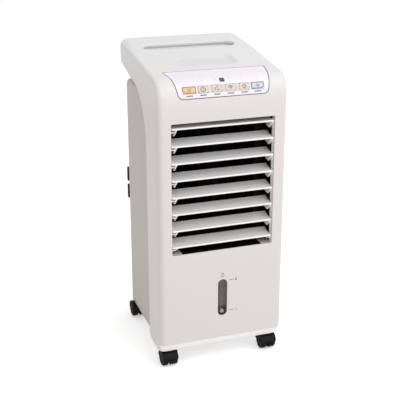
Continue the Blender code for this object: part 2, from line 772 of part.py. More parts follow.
def build_castor(name, x, y):
    """Swivelling body with stem, web and fender, and the wheel pair on its axle."""
    wheel_y = y + CASTOR_TRAIL
    wheel_z = WHEEL_RADIUS
    side = WEB_THICK / 2 + WEB_GAP + WHEEL_WIDTH
    crown = arc((wheel_y, wheel_z), FENDER_RADIUS, -FENDER_DIP, pi - FENDER_DIP, CROWN_STEPS)
    body = slab(f"castor_{name}_body", crown, ALONG_X, x - side, x + side, PARTS)
    web_radius = FENDER_RADIUS - FENDER_WALL / 2
    flat = asin((WHEEL_RADIUS - WEB_CLEAR) / web_radius)
    web = arc((wheel_y, wheel_z), web_radius, -flat, pi + flat, WEB_STEPS)
    web_half = WEB_THICK / 2 - WEB_RELIEF
    join(body, slab(f"web_{name}", web, ALONG_X, x - web_half, x + web_half))
    foot = (x, y, wheel_z + AXLE_RADIUS * 2)
    join(body, rod(f"stem_{name}", foot, (x, y, DECK_TOP - FIT), STEM_RADIUS))
    wells = []
    for hand in (-1, 1):
        near = (x + hand * WEB_THICK / 2, wheel_y, wheel_z)
        far = (x + hand * (side + WEB_GAP), wheel_y, wheel_z)
        reach = WHEEL_RADIUS + FENDER_GAP
        wells.append(rod(f"well_{name}_{hand}", near, far, reach, WHEEL_SIDES))
    cut(body, *wells)
    start = (x - side, wheel_y, wheel_z)
    end = (x + side, wheel_y, wheel_z)
    cut(body, rod(f"axle_hole_{name}", start, end, AXLE_RADIUS + RUN))
    finish(body, "castor_black", (x, y, 0))
    wheels = rod(f"castor_{name}_wheels", start, end, AXLE_RADIUS, BAR_SIDES, PARTS)
    for hand in (-1, 1):
        near = (x + hand * (WEB_THICK / 2 + WEB_GAP), wheel_y, wheel_z)
        far = (x + hand * side, wheel_y, wheel_z)
        tyre = rod(f"tyre_{name}_{hand}", near, far, WHEEL_RADIUS, WHEEL_SIDES)
        edge = tyre.modifiers.new("edge", "BEVEL")
        edge.width = WHEEL_EDGE
        edge.segments = 1
        edge.limit_method = "ANGLE"
        edge.angle_limit = TYRE_ANGLE
        join(wheels, tyre)
    finish(wheels, "castor_black", (x, wheel_y, wheel_z))


def build_control_panel():
    """Film overlay in the shoulder recess with windows for the keys and the display."""
    film = panel_band("control_overlay", 0, OVERLAY_THICK, PARTS)
    keep(film, panel_prism("overlay_edge", 0))
    for index, (x, half) in enumerate(key_places()):
        outer = SHOULDER_RADIUS + WALL
        inner = SHOULDER_RADIUS - KEY_DEEP
        cut(film, key_band(f"key_port_{index}", x, half, outer, inner, KEY_GAP))
    cut(film, display_slab("display_port", DISPLAY_HALF + FIT, WALL))
    finish(film, "panel_film")
    names = ("heat", "timer", "speed", "swing", "mode", "cool")
    colours = ("key_orange", "key_beige", "key_beige", "key_beige", "key_beige", "key_blue")
    for index, (x, half) in enumerate(key_places()):
        outer = SHOULDER_RADIUS + KEY_PROUD
        inner = SHOULDER_RADIUS - KEY_DEEP
        key = key_band(f"key_{names[index]}", x, half, outer, inner, 0, PARTS)
        middle = shoulder_point(KEY_MIDDLE, SHOULDER_RADIUS)
        finish(key, colours[index], (x, middle.x, middle.y))


def board_frame():
    """Frame of the control board: X across, up the board, and out towards the panel."""
    out = Vector((-cos(BOARD_ANGLE), sin(BOARD_ANGLE)))
    along = Vector((sin(BOARD_ANGLE), cos(BOARD_ANGLE)))
    seat = SHOULDER_CENTRE + out * BOARD_REACH
    return Matrix(
        (
            (1, 0, 0, 0),
            (0, along.x, out.x, seat.x),
            (0, along.y, out.y, seat.y),
            (0, 0, 0, 1),
        )
    )


def display_slab(name, half, proud, home=CUTTERS):
    """Display block between the board and the panel surface, in side view."""
    out = Vector((-cos(DISPLAY_ANGLE), sin(DISPLAY_ANGLE)))
    along = Vector((sin(DISPLAY_ANGLE), cos(DISPLAY_ANGLE)))
    board_out = Vector((-cos(BOARD_ANGLE), sin(BOARD_ANGLE)))
    face = SHOULDER_CENTRE + out * (SHOULDER_RADIUS + proud)
    seat = BOARD_REACH + BOARD_THICK + FIT
    outline = [tuple(face - along * half), tuple(face + along * half)]
    for side in (1, -1):
        corner = face + along * half * side
        drop = ((corner - SHOULDER_CENTRE).dot(board_out) - seat) / out.dot(board_out)
        outline.append(tuple(corner - out * drop))
    return slab(name, outline, ALONG_X, -half, half, home)


def build_electronics():
    """Control board on four posts, and the display block that stands on it."""
    frame = board_frame()
    outline = rectangle((-BOARD_HALF, -BOARD_BELOW), (BOARD_HALF, BOARD_ABOVE), (0, 0, 0, 0))
    board = slab("control_board", outline, frame, 0, BOARD_THICK, PARTS)
    inside = SHOULDER_RADIUS - WALL - 2 * FIT
    top = sqrt(inside**2 - (POST_OFFSET + POST_RADIUS) ** 2) - BOARD_REACH
    posts = []
    for x in (-POST_X, POST_X):
        for v in (-POST_OFFSET, POST_OFFSET):
            posts.append((frame @ Vector((x, v, BOARD_THICK / 2)), frame @ Vector((x, v, top))))
    join(board, rods("board_posts", posts, POST_RADIUS, FINE_PIN_SIDES))
    finish(board, "board_green")
    finish(display_slab("display_module", DISPLAY_HALF, -FIT, PARTS), "display_black")


def lip_height(index):
    return FIRST_LIP - index * LOUVER_PITCH


def blade_outline(lip_z):
    """Side view of a blade: a dished strip that rises to the rear, with a deeper front lip."""
    upper = []
    lower = []
    for index in range(BLADE_STEPS + 1):
        share = index / BLADE_STEPS
        depth = BLADE_FRONT + BLADE_CHORD * share
        rise = lip_z + BLADE_LIP + BLADE_RISE * share**2
        upper.append((depth, rise))
        if index > 0:
            lower.append((depth, rise - BLADE_THICK))
    front = [(BLADE_FRONT, lip_z), (BLADE_FRONT + BLADE_THICK, lip_z)]
    return front + lower + upper[::-1]


def ear_outline(lip_z):
    """Side view of a blade's end ear, which hangs under the blade and carries the pivot."""
    top = lip_z + BLADE_LIP - BLADE_THICK / 2
    foot = lip_z - EAR_DROP
    corners = [
        (BLADE_FRONT + BLADE_THICK / 2, top),
        (PIVOT_Y - PIVOT_RADIUS * 2, foot),
        (PIVOT_Y + PIVOT_RADIUS * 2, foot),
        (BLADE_FRONT + EAR_BACK, top + BLADE_THICK / 3),
    ]
    return rounded(corners, (0, EAR_CORNER, EAR_CORNER, 0))


def build_louver(index):
    """One outlet blade with its ears, pivot pins and crank for the link."""
    lip = lip_height(index)
    pivot_z = lip - PIVOT_DROP
    outline = blade_outline(lip)
    blade = slab(f"louver_{index + 1}", outline, ALONG_X, -BLADE_HALF, BLADE_HALF, PARTS)
    tip = OPENING_HALF + FRAME_WALL - FIT
    for hand in (-1, 1):
        near, far = sorted((hand * (BLADE_HALF - EAR_THICK), hand * BLADE_HALF))
        ear = slab(f"ear_{index}_{hand}", ear_outline(lip), ALONG_X, near, far)
        start = ((near + far) / 2, PIVOT_Y, pivot_z)
        end = (hand * tip, PIVOT_Y, pivot_z)
        pin = rod(f"pivot_{index}_{hand}", start, end, PIVOT_RADIUS, PIN_SIDES)
        join(blade, ear, pin)
    crank_z = crank_height(index)
    rear = BLADE_FRONT + BLADE_CHORD
    tail = lip + BLADE_LIP + BLADE_RISE
    crank_x = -BLADE_HALF + LINK_THICK + FIT
    corners = [
        (rear - 4 * BLADE_THICK, tail - BLADE_THICK),
        (CRANK_Y - CRANK_HALF, crank_z - CRANK_HALF),
        (CRANK_Y + CRANK_HALF, crank_z - CRANK_HALF),
        (CRANK_Y + CRANK_HALF, crank_z + CRANK_HALF),
        (rear - BLADE_THICK / 2, tail - BLADE_THICK / 2),
    ]
    arm = slab(f"crank_{index}", corners, ALONG_X, crank_x, crank_x + CRANK_THICK)
    inner = (crank_x + CRANK_THICK / 2, CRANK_Y, crank_z)
    outer = (-BLADE_HALF, CRANK_Y, crank_z)
    pin = rod(f"crank_pin_{index}", inner, outer, CRANK_PIN, FINE_PIN_SIDES)
    join(blade, arm, pin)
    return finish(blade, "white_shell", (0, PIVOT_Y, pivot_z))


def crank_height(index):
    """Height of a blade's link pin, a little under its lip."""
    return lip_height(index) - CRANK_DROP


def build_louver_link():
    """Upright bar at the left behind the blades that turns them together."""
    top = crank_height(0) + LINK_HALF
    foot = crank_height(LOUVER_COUNT - 1) - LINK_HALF
    low = (-BLADE_HALF, CRANK_Y - LINK_HALF, foot)
    high = (-BLADE_HALF + LINK_THICK, CRANK_Y + LINK_HALF, top)
    bar = block("louver_link", low, high, PARTS)
    holes = []
    for index in range(LOUVER_COUNT):
        z = crank_height(index)
        start = (-BLADE_HALF - WALL, CRANK_Y, z)
        end = (-BLADE_HALF + LINK_THICK + WALL, CRANK_Y, z)
        holes.append((start, end))
    cut(bar, rods("link_holes", holes, CRANK_PIN + RUN, FINE_PIN_SIDES))
    return finish(bar, "white_inner", (0, CRANK_Y, crank_height(0)))


def build_louver_frame():
    """Frame behind the outlet with the blades' pivot holes and a flange round the aperture."""
    front = WALL + FIT
    half = OPENING_HALF
    low = (-half - FRAME_WALL, front, OPENING_FOOT - FRAME_WALL)
    high = (half + FRAME_WALL, FRAME_DEPTH, BAY_TOP + FRAME_WALL)
    frame = block("louver_frame", low, high, PARTS)
    bay_back = FRAME_DEPTH - WALL
    cut(frame, block("louver_bay", (-half, 0, OPENING_FOOT), (half, bay_back, BAY_TOP)))
    inset = APERTURE_INSET
    low = (-half + inset, 0, OPENING_FOOT + inset)
    high = (half - inset, FRAME_DEPTH + WALL, OPENING_TOP - inset)
    cut(frame, block("aperture", low, high))
    reach = half + 2 * FRAME_WALL
    holes = []
    for index in range(LOUVER_COUNT):
        z = lip_height(index) - PIVOT_DROP
        holes.append(((-reach, PIVOT_Y, z), (reach, PIVOT_Y, z)))
    cut(frame, rods("pivot_holes", holes, PIVOT_RADIUS + RUN, PIN_SIDES))
    return finish(frame, "black_duct")


def vane_x(index):
    return (index - (VANE_COUNT - 1) / 2) * VANE_SPACING


def build_outlet_duct():
    """Black duct behind the louvre frame, with the vanes' pivot holes above and below."""
    wall = DUCT_WALL
    front = FRAME_DEPTH + FIT
    low = (-DUCT_HALF - wall, front, DUCT_FOOT - wall)
    high = (DUCT_HALF + wall, DUCT_END, DUCT_TOP + wall)
    duct = block("outlet_duct", low, high, PARTS)
    cut(duct, block("duct_bore", (-DUCT_HALF, 0, DUCT_FOOT), (DUCT_HALF, DEPTH, DUCT_TOP)))
    holes = []
    for index in range(VANE_COUNT):
        x = vane_x(index)
        holes.append(((x, VANE_Y, DUCT_FOOT - 2 * wall), (x, VANE_Y, DUCT_TOP + 2 * wall)))
    cut(duct, rods("vane_holes", holes, VANE_PIN + RUN, PIN_SIDES))
    return finish(duct, "black_duct")


def build_vane(index):
    """One upright vane on its two pins, with a link pin under its rear edge."""
    x = vane_x(index)
    foot = DUCT_FOOT + VANE_FOOT
    head = DUCT_TOP - VANE_HEAD
    half = VANE_THICK / 2
    low = (x - half, VANE_Y - VANE_FORE, foot)
    high = (x + half, VANE_Y + VANE_AFT, head)
    vane = block(f"vane_{index + 1}", low, high, PARTS)
    middle = index == (VANE_COUNT - 1) // 2
    drop = DUCT_WALL + SWING_SHAFT if middle else DUCT_WALL - FIT
    lower = (x, VANE_Y, DUCT_FOOT - drop)
    upper = (x, VANE_Y, DUCT_TOP + DUCT_WALL - FIT)
    join(vane, rod(f"vane_pin_{index}", lower, upper, VANE_PIN, PIN_SIDES))
    crank_y = VANE_Y + VANE_CRANK
    pin_foot = (x, crank_y, DUCT_FOOT + VANE_LINK_LIFT)
    pin_head = (x, crank_y, foot + VANE_FOOT)
    join(vane, rod(f"vane_crank_{index}", pin_foot, pin_head, CRANK_PIN, FINE_PIN_SIDES))
    return finish(vane, "black_duct", (x, VANE_Y, DUCT_FOOT))


def build_vane_link():
    """Bar under the vanes that swings them together."""
    y = VANE_Y + VANE_CRANK
    foot = DUCT_FOOT + VANE_LINK_LIFT
    reach = vane_x(VANE_COUNT - 1) + 2 * LINK_HALF
    low = (-reach, y - LINK_HALF, foot)
    high = (reach, y + LINK_HALF, foot + LINK_THICK)
    bar = block("vane_link", low, high, PARTS)
    holes = []
    for index in range(VANE_COUNT):
        x = vane_x(index)
        holes.append(((x, y, DUCT_FOOT), (x, y, foot + 2 * LINK_THICK)))
    cut(bar, rods("vane_link_holes", holes, CRANK_PIN + RUN, FINE_PIN_SIDES))
    return finish(bar, "black_duct", (0, y, foot))


def build_swing_motor():
    """Small motor under the duct that turns the middle vane."""
    top = DUCT_FOOT - DUCT_WALL - FIT
    foot = (0, VANE_Y, top - SWING_MOTOR_HEIGHT)
    motor = rod("swing_motor", foot, (0, VANE_Y, top), SWING_MOTOR_RADIUS, DRUM_SIDES, PARTS)
    start = (0, VANE_Y, top - SWING_SHAFT - FIT)
    end = (0, VANE_Y, top + WALL)
    bore = rod("swing_bore", start, end, VANE_PIN + RUN, PIN_SIDES)
    return finish(cut(motor, bore), "motor_steel")


def build_fan_deck(name, foot, top):
    """Plate across the housing above or below the rotor."""
    half = HOUSING_HALF - WALL - FIT
    low = (-half, DUCT_END + FIT, foot)
    high = (half, HOUSING_BACK - FAN_DECK_TAIL, top)
    deck = block(name, low, high, PARTS)
    start = (0, ROTOR_Y, foot - WALL)
    end = (0, ROTOR_Y, top + WALL)
    return finish(cut(deck, rod(name + "_pass", start, end, SHAFT_PASS, DRUM_SIDES)), "white_inner")


def build_fan_rotor():
    """Cross-flow rotor: leaning blades between two discs, on a shaft."""
    foot = DUCT_FOOT + ROTOR_END_GAP
    top = DUCT_TOP - ROTOR_END_GAP
    shaft_foot = (0, ROTOR_Y, MOTOR_TOP - MOTOR_GRIP)
    shaft_top = (0, ROTOR_Y, FAN_TOP + FIT + BEARING_HEIGHT)
    rotor = rod("fan_rotor", shaft_foot, shaft_top, SHAFT_RADIUS, PIN_SIDES, PARTS)
    levels = [foot, (foot + top - ROTOR_DISC) / 2, top - ROTOR_DISC]
    for index, level in enumerate(levels):
        start = (0, ROTOR_Y, level)
        end = (0, ROTOR_Y, level + ROTOR_DISC)
        join(rotor, rod(f"rotor_disc_{index}", start, end, ROTOR_RADIUS, DISC_SIDES))
    blades = bmesh.new()
    for index in range(ROTOR_BLADES):
        made = bmesh.ops.create_cube(blades, size=1.0)["verts"]
        size = (ROTOR_BLADE_CHORD, ROTOR_BLADE_THICK, top - foot - ROTOR_DISC)
        bmesh.ops.scale(blades, vec=size, verts=made)
        around = Matrix.Rotation(2 * pi * index / ROTOR_BLADES, 4, "Z")
        reach = Matrix.Translation((ROTOR_RADIUS - ROTOR_BLADE_CHORD / 2, 0, 0))
        lean = Matrix.Rotation(ROTOR_BLADE_LEAN, 4, "Z")
        centre = Matrix.Translation((0, ROTOR_Y, (foot + top) / 2))
        bmesh.ops.transform(blades, matrix=centre @ around @ reach @ lean, verts=made)
    join(rotor, from_bmesh("rotor_blades", blades, CUTTERS))
    return finish(rotor, "black_duct", (0, ROTOR_Y, foot))


def build_fan_drive():
    """Motor under the lower deck and bush on the upper deck."""
    foot = (0, ROTOR_Y, MOTOR_TOP - MOTOR_HEIGHT)
    motor = rod("fan_motor", foot, (0, ROTOR_Y, MOTOR_TOP), MOTOR_RADIUS, WHEEL_SIDES, PARTS)
    start = (0, ROTOR_Y, MOTOR_TOP - MOTOR_GRIP - FIT)
    end = (0, ROTOR_Y, MOTOR_TOP + WALL)
    bore = rod("motor_bore", start, end, SHAFT_RADIUS + RUN, PIN_SIDES)
    finish(cut(motor, bore), "motor_steel")
    foot = FAN_TOP + FIT
    top = foot + BEARING_HEIGHT
    start = (0, ROTOR_Y, foot)
    bush = rod("rotor_bearing", start, (0, ROTOR_Y, top), BEARING_RADIUS, DRUM_SIDES, PARTS)
    start = (0, ROTOR_Y, foot - WALL)
    end = (0, ROTOR_Y, top + WALL)
    bore = rod("bearing_bore", start, end, SHAFT_RADIUS + RUN, PIN_SIDES)
    finish(cut(bush, bore), "motor_steel")


def build_fan_scroll():
    """Spiral wall round the rotor's right side and the short tongue at its left."""
    foot = DUCT_FOOT + FIT
    top = DUCT_TOP - FIT
    mouth = Vector((DUCT_HALF, DUCT_END + FIT - ROTOR_Y))
    first = ROTOR_RADIUS + SCROLL_GAP
    last = mouth.length
    end = atan2(mouth.y, mouth.x)
    inner = []
    outer = []
    for index in range(SCROLL_STEPS + 1):
        share = index / SCROLL_STEPS
        angle = SCROLL_START + (end - SCROLL_START) * share
        radius = first + (last - first) * share
        across = Vector((cos(angle), sin(angle)))
        inner.append((across.x * radius, ROTOR_Y + across.y * radius))
        radius += SCROLL_WALL
        outer.append((across.x * radius, max(ROTOR_Y + across.y * radius, DUCT_END + FIT)))
    finish(slab("fan_scroll", inner + outer[::-1], ALONG_Z, foot, top, PARTS), "black_duct")
    near = ROTOR_RADIUS + TONGUE_GAP
    nose = (-near * cos(TONGUE_ANGLE), ROTOR_Y - near * sin(TONGUE_ANGLE))
    root = (-DUCT_HALF, DUCT_END + FIT)
    outline = [
        root,
        (root[0] - SCROLL_WALL, root[1]),
        (nose[0] - SCROLL_WALL, nose[1] + SCROLL_WALL / 2),
        (nose[0] - SCROLL_WALL, nose[1] + 3 * SCROLL_WALL),
        (nose[0], nose[1] + 3 * SCROLL_WALL),
        nose,
    ]
    finish(slab("fan_tongue", outline, ALONG_Z, foot, top, PARTS), "black_duct")


def build_pad():
    """Wet pad in its frame behind the intake port."""
    low = (-PAD_HALF, PAD_FRONT, PAD_FOOT)
    high = (PAD_HALF, PAD_BACK, PAD_TOP)
    frame = block("pad_frame", low, high, PARTS)
    edge = frame.modifiers.new("corner", "BEVEL")
    edge.width = HOUSING_CORNER - WALL
    edge.segments = 1
    edge.limit_method = "ANGLE"
    half = PAD_HALF - PAD_FRAME_RIM
    low = PAD_FOOT + PAD_FRAME_SILL
    high = PAD_TOP - PAD_FRAME_SILL
    finish(cut(frame, block("pad_bay", (-half, 0, low), (half, DEPTH, high))), "white_inner")
    low = (FIT - half, PAD_FRONT + PAD_FACE_GAP, low + FIT)
    high = (half - FIT, PAD_BACK - PAD_FACE_GAP, high - FIT)
    finish(block("evaporative_pad", low, high, PARTS), "pad_brown")


def build_intake_grille():
    """Slatted cover over the intake, with a finger grip on each side."""
    half = HOUSING_HALF - HOUSING_CORNER - GRILLE_LAP
    front = HOUSING_BACK + FIT
    back = front + GRILLE_THICK
    foot = PAD_FOOT + GRILLE_LAP
    top = PAD_TOP + GRILLE_LAP
    grille = block("intake_grille", (-half, front, foot), (half, back, top), PARTS)
    low = foot + GRILLE_RIM
    pitch = (top - GRILLE_RIM - low + GRILLE_BAR) / GRILLE_SLOTS
    slots = []
    for index in range(GRILLE_SLOTS):
        z = low + index * pitch
        start = (-half + GRILLE_RIM, front - WALL, z)
        end = (half - GRILLE_RIM, back + WALL, z + pitch - GRILLE_BAR)
        slots.append((start, end))
    cut(grille, blocks("grille_slots", slots))
    finish(grille, "white_shell")
    for side, hand in (("left", -1), ("right", 1)):
        build_filter_grip(side, hand, half + FIT, front, foot + GRIP_LIFT)


def build_filter_grip(side, hand, near, front, foot):
    """Dark two-step finger grip beside the intake grille."""
    xs = sorted((hand * near, hand * (near + GRIP_THICK)))
    low = (xs[0], front, foot)
    high = (xs[1], front + GRILLE_THICK, foot + GRIP_HEIGHT)
    grip = block(f"filter_grip_{side}", low, high, PARTS)
    step = (GRIP_HEIGHT - GRIP_SPLIT) / 2
    xs = sorted((hand * (near + GRIP_THICK / 2), hand * (near + GRIP_THICK + GRIP_BUMP)))
    for index in range(2):
        z = foot + index * (step + GRIP_SPLIT)
        bump_low = (xs[0], front + GRILLE_THICK / 4, z)
        bump_high = (xs[1], front + GRIP_REACH, z + step)
        join(grip, block(f"grip_step_{side}_{index}", bump_low, bump_high))
    return finish(grip, "grip_dark")


def build_water_spreader():
    """Trough on top of the pad frame, with drip holes in its floor and the hose inlet in front."""
    half = PAD_HALF - PAD_FRAME_RIM
    foot = PAD_TOP + FIT
    top = foot + SPREADER_HEIGHT
    wall = SPREADER_WALL
    front = PAD_FRONT + FIT
    back = PAD_BACK - wall / 2
    trough = block("water_spreader", (-half, front, foot), (half, back, top), PARTS)
    low = (wall - half, front + wall, foot + wall)
    high = (half - wall, back - wall, top + wall)
    cut(trough, block("trough_bay", low, high))
    middle = (PAD_FRONT + PAD_BACK) / 2
    drips = []
    for index in range(DRIP_COUNT):
        x = (index - (DRIP_COUNT - 1) / 2) * 2 * half / (DRIP_COUNT + 1)
        drips.append(((x, middle, foot - wall), (x, middle, top)))
    cut(trough, rods("drips", drips, DRIP_RADIUS, FINE_PIN_SIDES))
    inlet_z = hose_inlet()
    start = (PUMP_X, PAD_FRONT - wall, inlet_z)
    end = (PUMP_X, PAD_FRONT + 2 * wall, inlet_z)
    cut(trough, rod("hose_inlet", start, end, HOSE_INLET, FINE_PIN_SIDES))
    return finish(trough, "white_inner")


def hose_inlet():
    return PAD_TOP + FIT + SPREADER_HEIGHT / 2 + SPREADER_WALL / 2


def pump_box():
    """Low and high corners of the pump, in the rear of the tank."""
    front = HOUSING_BACK - PUMP_FRONT
    foot = TANK_FOOT + TANK_WALL + PUMP_LIFT
    low = Vector((PUMP_X - PUMP_HALF, front, foot))
    high = Vector((PUMP_X + PUMP_HALF, front + PUMP_LENGTH, foot + PUMP_HEIGHT))
    return low, high


def build_pump():
    """Submersible pump, the bracket that hangs it from the pad frame, and its hose."""
    low, high = pump_box()
    finish(block("water_pump", low, high, PARTS), "castor_black")
    x = PUMP_X - PUMP_HALF + BRACKET_HALF
    y = PAD_FRONT + BRACKET_THICK
    start = (x - BRACKET_HALF, y, high.z + FIT)
    end = (x + BRACKET_HALF, y + BRACKET_THICK, PAD_FOOT - FIT)
    finish(block("pump_bracket", start, end, PARTS), "white_inner")
    build_hose(high.z + FIT)


def build_hose(foot):
    """Riser from the pump to the trough, bent once into its front wall."""
    turn = PAD_FRONT - HOSE_RADIUS / 2
    inlet = hose_inlet()
    bend = arc((turn, inlet - HOSE_BEND), HOSE_BEND, pi, pi / 2, CORNER_STEPS)
    route = [(turn - HOSE_BEND, foot)] + bend + [(PAD_FRONT, inlet)]
    curve = bpy.data.curves.new("water_hose", "CURVE")
    curve.dimensions = "3D"
    curve.bevel_depth = HOSE_RADIUS
    curve.bevel_resolution = 2
    curve.use_fill_caps = True
    spline = curve.splines.new("POLY")
    spline.points.add(len(route) - 1)
    for point, (depth, z) in zip(spline.points, route):
        point.co = (PUMP_X, depth, z, 1.0)
    hose = place("water_hose", curve, PARTS)
    curve.materials.append(MATERIALS["hose_clear"])
    return hose


def build_tank():
    """Open-topped tank that slides out of the back, with a ledge to pull it by."""
    half = TANK_HALF
    back = HOUSING_BACK
    tank = block("water_tank", (-half, TANK_FRONT, TANK_FOOT), (half, back, TANK_TOP), PARTS)
    wall = TANK_WALL
    low = (wall - half, TANK_FRONT + wall, TANK_FOOT + wall)
    high = (half - wall, back - wall, HEIGHT)
    cut(tank, block("tank_hollow", low, high))
    z = (TANK_FOOT + TANK_TOP) / 2
    start = (-PULL_HALF, back - wall / 2, z - PULL_THICK)
    end = (PULL_HALF, back + PULL_REACH, z)
    join(tank, block("tank_pull", start, end))
    return finish(tank, "tank_grey", (0, back, TANK_FOOT))


def build_tank_latch():
    """Balanced turn button above the tank, on a pin in the housing's back, turned aside at rest."""
    y = HOUSING_BACK + FIT
    radius = LATCH_RADIUS
    run = LATCH_REACH - radius
    right = arc((run, LATCH_Z), radius, -pi / 2, pi / 2, END_STEPS)
    left = arc((-run, LATCH_Z), radius, pi / 2, 3 * pi / 2, END_STEPS)
    latch = slab("tank_latch", right + left, ALONG_Y, -y - LATCH_THICK, -y, PARTS)
    start = (0, y - LATCH_PIN_LENGTH, LATCH_Z)
    end = (0, y + LATCH_THICK / 2, LATCH_Z)
    join(latch, rod("latch_pin", start, end, LATCH_PIN, PIN_SIDES))
    return finish(latch, "white_shell", (0, y, LATCH_Z))


def build_level_gauge():
    """Smoked window in the front with two guides behind it, and the float between them."""
    middle = WINDOW_FOOT + WINDOW_HEIGHT / 2
    outline = stadium((0, middle), WINDOW_HALF, WINDOW_HEIGHT)
    window = slab("gauge_window", outline, ALONG_Y, -WALL - FIT, 0, PARTS)
    foot = WINDOW_FOOT + WINDOW_HALF / 2
    top = WINDOW_FOOT + WINDOW_HEIGHT - WINDOW_HALF / 2
    back = TANK_FRONT - FIT
    for hand in (-1, 1):
        xs = sorted((hand * GUIDE_GAP, hand * (GUIDE_GAP + GUIDE_WALL)))
        guide = block(f"guide_{hand}", (xs[0], WALL / 2, foot), (xs[1], back, top))
        join(window, guide)
    finish(window, "smoked_clear")
    z = WINDOW_FOOT + FLOAT_LIFT
    start = (0, WALL + 2 * FIT, z)
    end = (0, back, z)
    bead = rod("level_float", start, end, FLOAT_RADIUS, DRUM_SIDES, PARTS)
    return finish(bead, "float_white", (0, WALL, z))


def build_cord_gland():
    """Bush in the housing's back where the supply lead enters."""
    y = HOUSING_BACK + FIT
    start = (GLAND_X, y, GLAND_Z)
    end = (GLAND_X, y + GLAND_REACH, GLAND_Z)
    gland = rod("cord_gland", start, end, GLAND_FLANGE, DRUM_SIDES, PARTS)
    inner = HOUSING_BACK - 2 * WALL
    start = (GLAND_X, inner, GLAND_Z)
    end = (GLAND_X, y + WALL, GLAND_Z)
    join(gland, rod("gland_barrel", start, end, GLAND_BARREL))
    start = (GLAND_X, inner - WALL, GLAND_Z)
    end = (GLAND_X, DEPTH, GLAND_Z)
    return finish(cut(gland, rod("gland_bore", start, end, GLAND_BORE)), "castor_black")


build_front_hood()
build_handle_pocket()
build_rear_housing()
build_base_deck()
for castor in castor_places():
    build_castor(*castor)
build_control_panel()
build_electronics()
build_louver_frame()
for blade_index in range(LOUVER_COUNT):
    build_louver(blade_index)
build_louver_link()
build_outlet_duct()
for vane_index in range(VANE_COUNT):
    build_vane(vane_index)
build_vane_link()
build_swing_motor()
build_fan_deck("fan_deck_lower", FAN_FOOT, DUCT_FOOT)
build_fan_deck("fan_deck_upper", DUCT_TOP, FAN_TOP)
build_fan_rotor()
build_fan_drive()
build_fan_scroll()
build_pad()
build_intake_grille()
build_water_spreader()
build_pump()
build_tank()
build_tank_latch()
build_level_gauge()
build_cord_gland()
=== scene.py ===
"""Looks of a tower evaporative cooler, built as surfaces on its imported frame."""

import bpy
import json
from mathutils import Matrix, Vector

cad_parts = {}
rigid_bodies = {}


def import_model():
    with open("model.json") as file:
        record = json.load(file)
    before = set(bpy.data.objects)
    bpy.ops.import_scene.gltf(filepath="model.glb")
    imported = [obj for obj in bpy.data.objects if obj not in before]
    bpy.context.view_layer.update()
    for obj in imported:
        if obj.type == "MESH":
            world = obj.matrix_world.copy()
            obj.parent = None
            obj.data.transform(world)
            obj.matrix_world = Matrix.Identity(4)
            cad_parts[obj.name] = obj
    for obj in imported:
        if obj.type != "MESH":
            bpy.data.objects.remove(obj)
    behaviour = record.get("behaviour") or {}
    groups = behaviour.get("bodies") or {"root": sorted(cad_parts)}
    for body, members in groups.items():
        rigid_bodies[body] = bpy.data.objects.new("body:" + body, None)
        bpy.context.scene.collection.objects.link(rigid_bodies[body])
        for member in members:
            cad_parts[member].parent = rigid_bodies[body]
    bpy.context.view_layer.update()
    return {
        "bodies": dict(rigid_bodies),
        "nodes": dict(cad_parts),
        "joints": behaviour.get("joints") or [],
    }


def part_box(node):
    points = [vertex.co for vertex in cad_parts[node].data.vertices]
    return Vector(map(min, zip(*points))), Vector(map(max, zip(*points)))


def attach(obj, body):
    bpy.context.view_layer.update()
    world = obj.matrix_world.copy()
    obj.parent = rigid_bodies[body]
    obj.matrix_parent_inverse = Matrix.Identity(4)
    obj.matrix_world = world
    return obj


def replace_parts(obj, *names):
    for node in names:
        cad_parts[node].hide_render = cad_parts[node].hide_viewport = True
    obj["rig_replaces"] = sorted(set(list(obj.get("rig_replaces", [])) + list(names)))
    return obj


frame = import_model()

import json
from math import cos, pi, radians, sin, tan
from typing import NamedTuple

import bmesh
import bpy
import numpy as np
from bpy.props import FloatProperty, FloatVectorProperty, PointerProperty
from bpy.types import Operator, Panel, PropertyGroup

bl_info = {
    "name": "Tower cooler looks",
    "version": (1, 0, 0),
    "blender": (4, 5, 0),
    "location": "View3D > Sidebar > Cooler",
    "description": "Builds the visible surfaces, finishes and studio of a tower evaporative cooler",
    "category": "Object",
}

X, Y, Z = 0, 1, 2
HOOD_LOW, HOOD_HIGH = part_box("front_hood")
HOUSING_LOW, HOUSING_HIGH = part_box("rear_housing")
JOINTS = {joint["name"]: joint for joint in frame["joints"]}
KEYS = ("heat", "timer", "speed", "swing", "mode", "cool")
# The two end keys: the side that each one slants on, and its slot
ENDS = {"heat": -1, "cool": 1}
END_SLOTS = {"heat": "key_orange", "cool": "key_blue"}
CASTORS = ("front_left", "front_right", "rear_left", "rear_right")
LOUVERS = tuple(name for name in frame["bodies"] if name.startswith("louver_") and name != "louver_link")
# Plates beside the air's way, which take the duct's finish
AIR_WALLS = ("fan_deck_lower", "fan_deck_upper")
CORNERS = ((-1, -1), (1, -1), (1, 1), (-1, 1))
# Gap between a fitted piece and the opening that takes it
FIT = 0.0003
# Points nearer than this are one point
SEAM = 1e-6
# Smallest corner radius
HAIR = 1e-5


# Settings


def length(name, default, text):
    """A length that a user may change."""
    return FloatProperty(name=name, description=text, default=default, unit="LENGTH", precision=4)


def angle(name, default, text):
    """An angle that a user may change."""
    return FloatProperty(name=name, description=text, default=radians(default), unit="ROTATION")


def factor(name, default, text):
    """A plain number that a user may change."""
    return FloatProperty(name=name, description=text, default=default, min=0.0)


def colour(name, default, text):
    """A colour that a user may change, in linear light."""
    return FloatVectorProperty(
        name=name, description=text, default=default, subtype="COLOR", size=3, min=0, max=1
    )


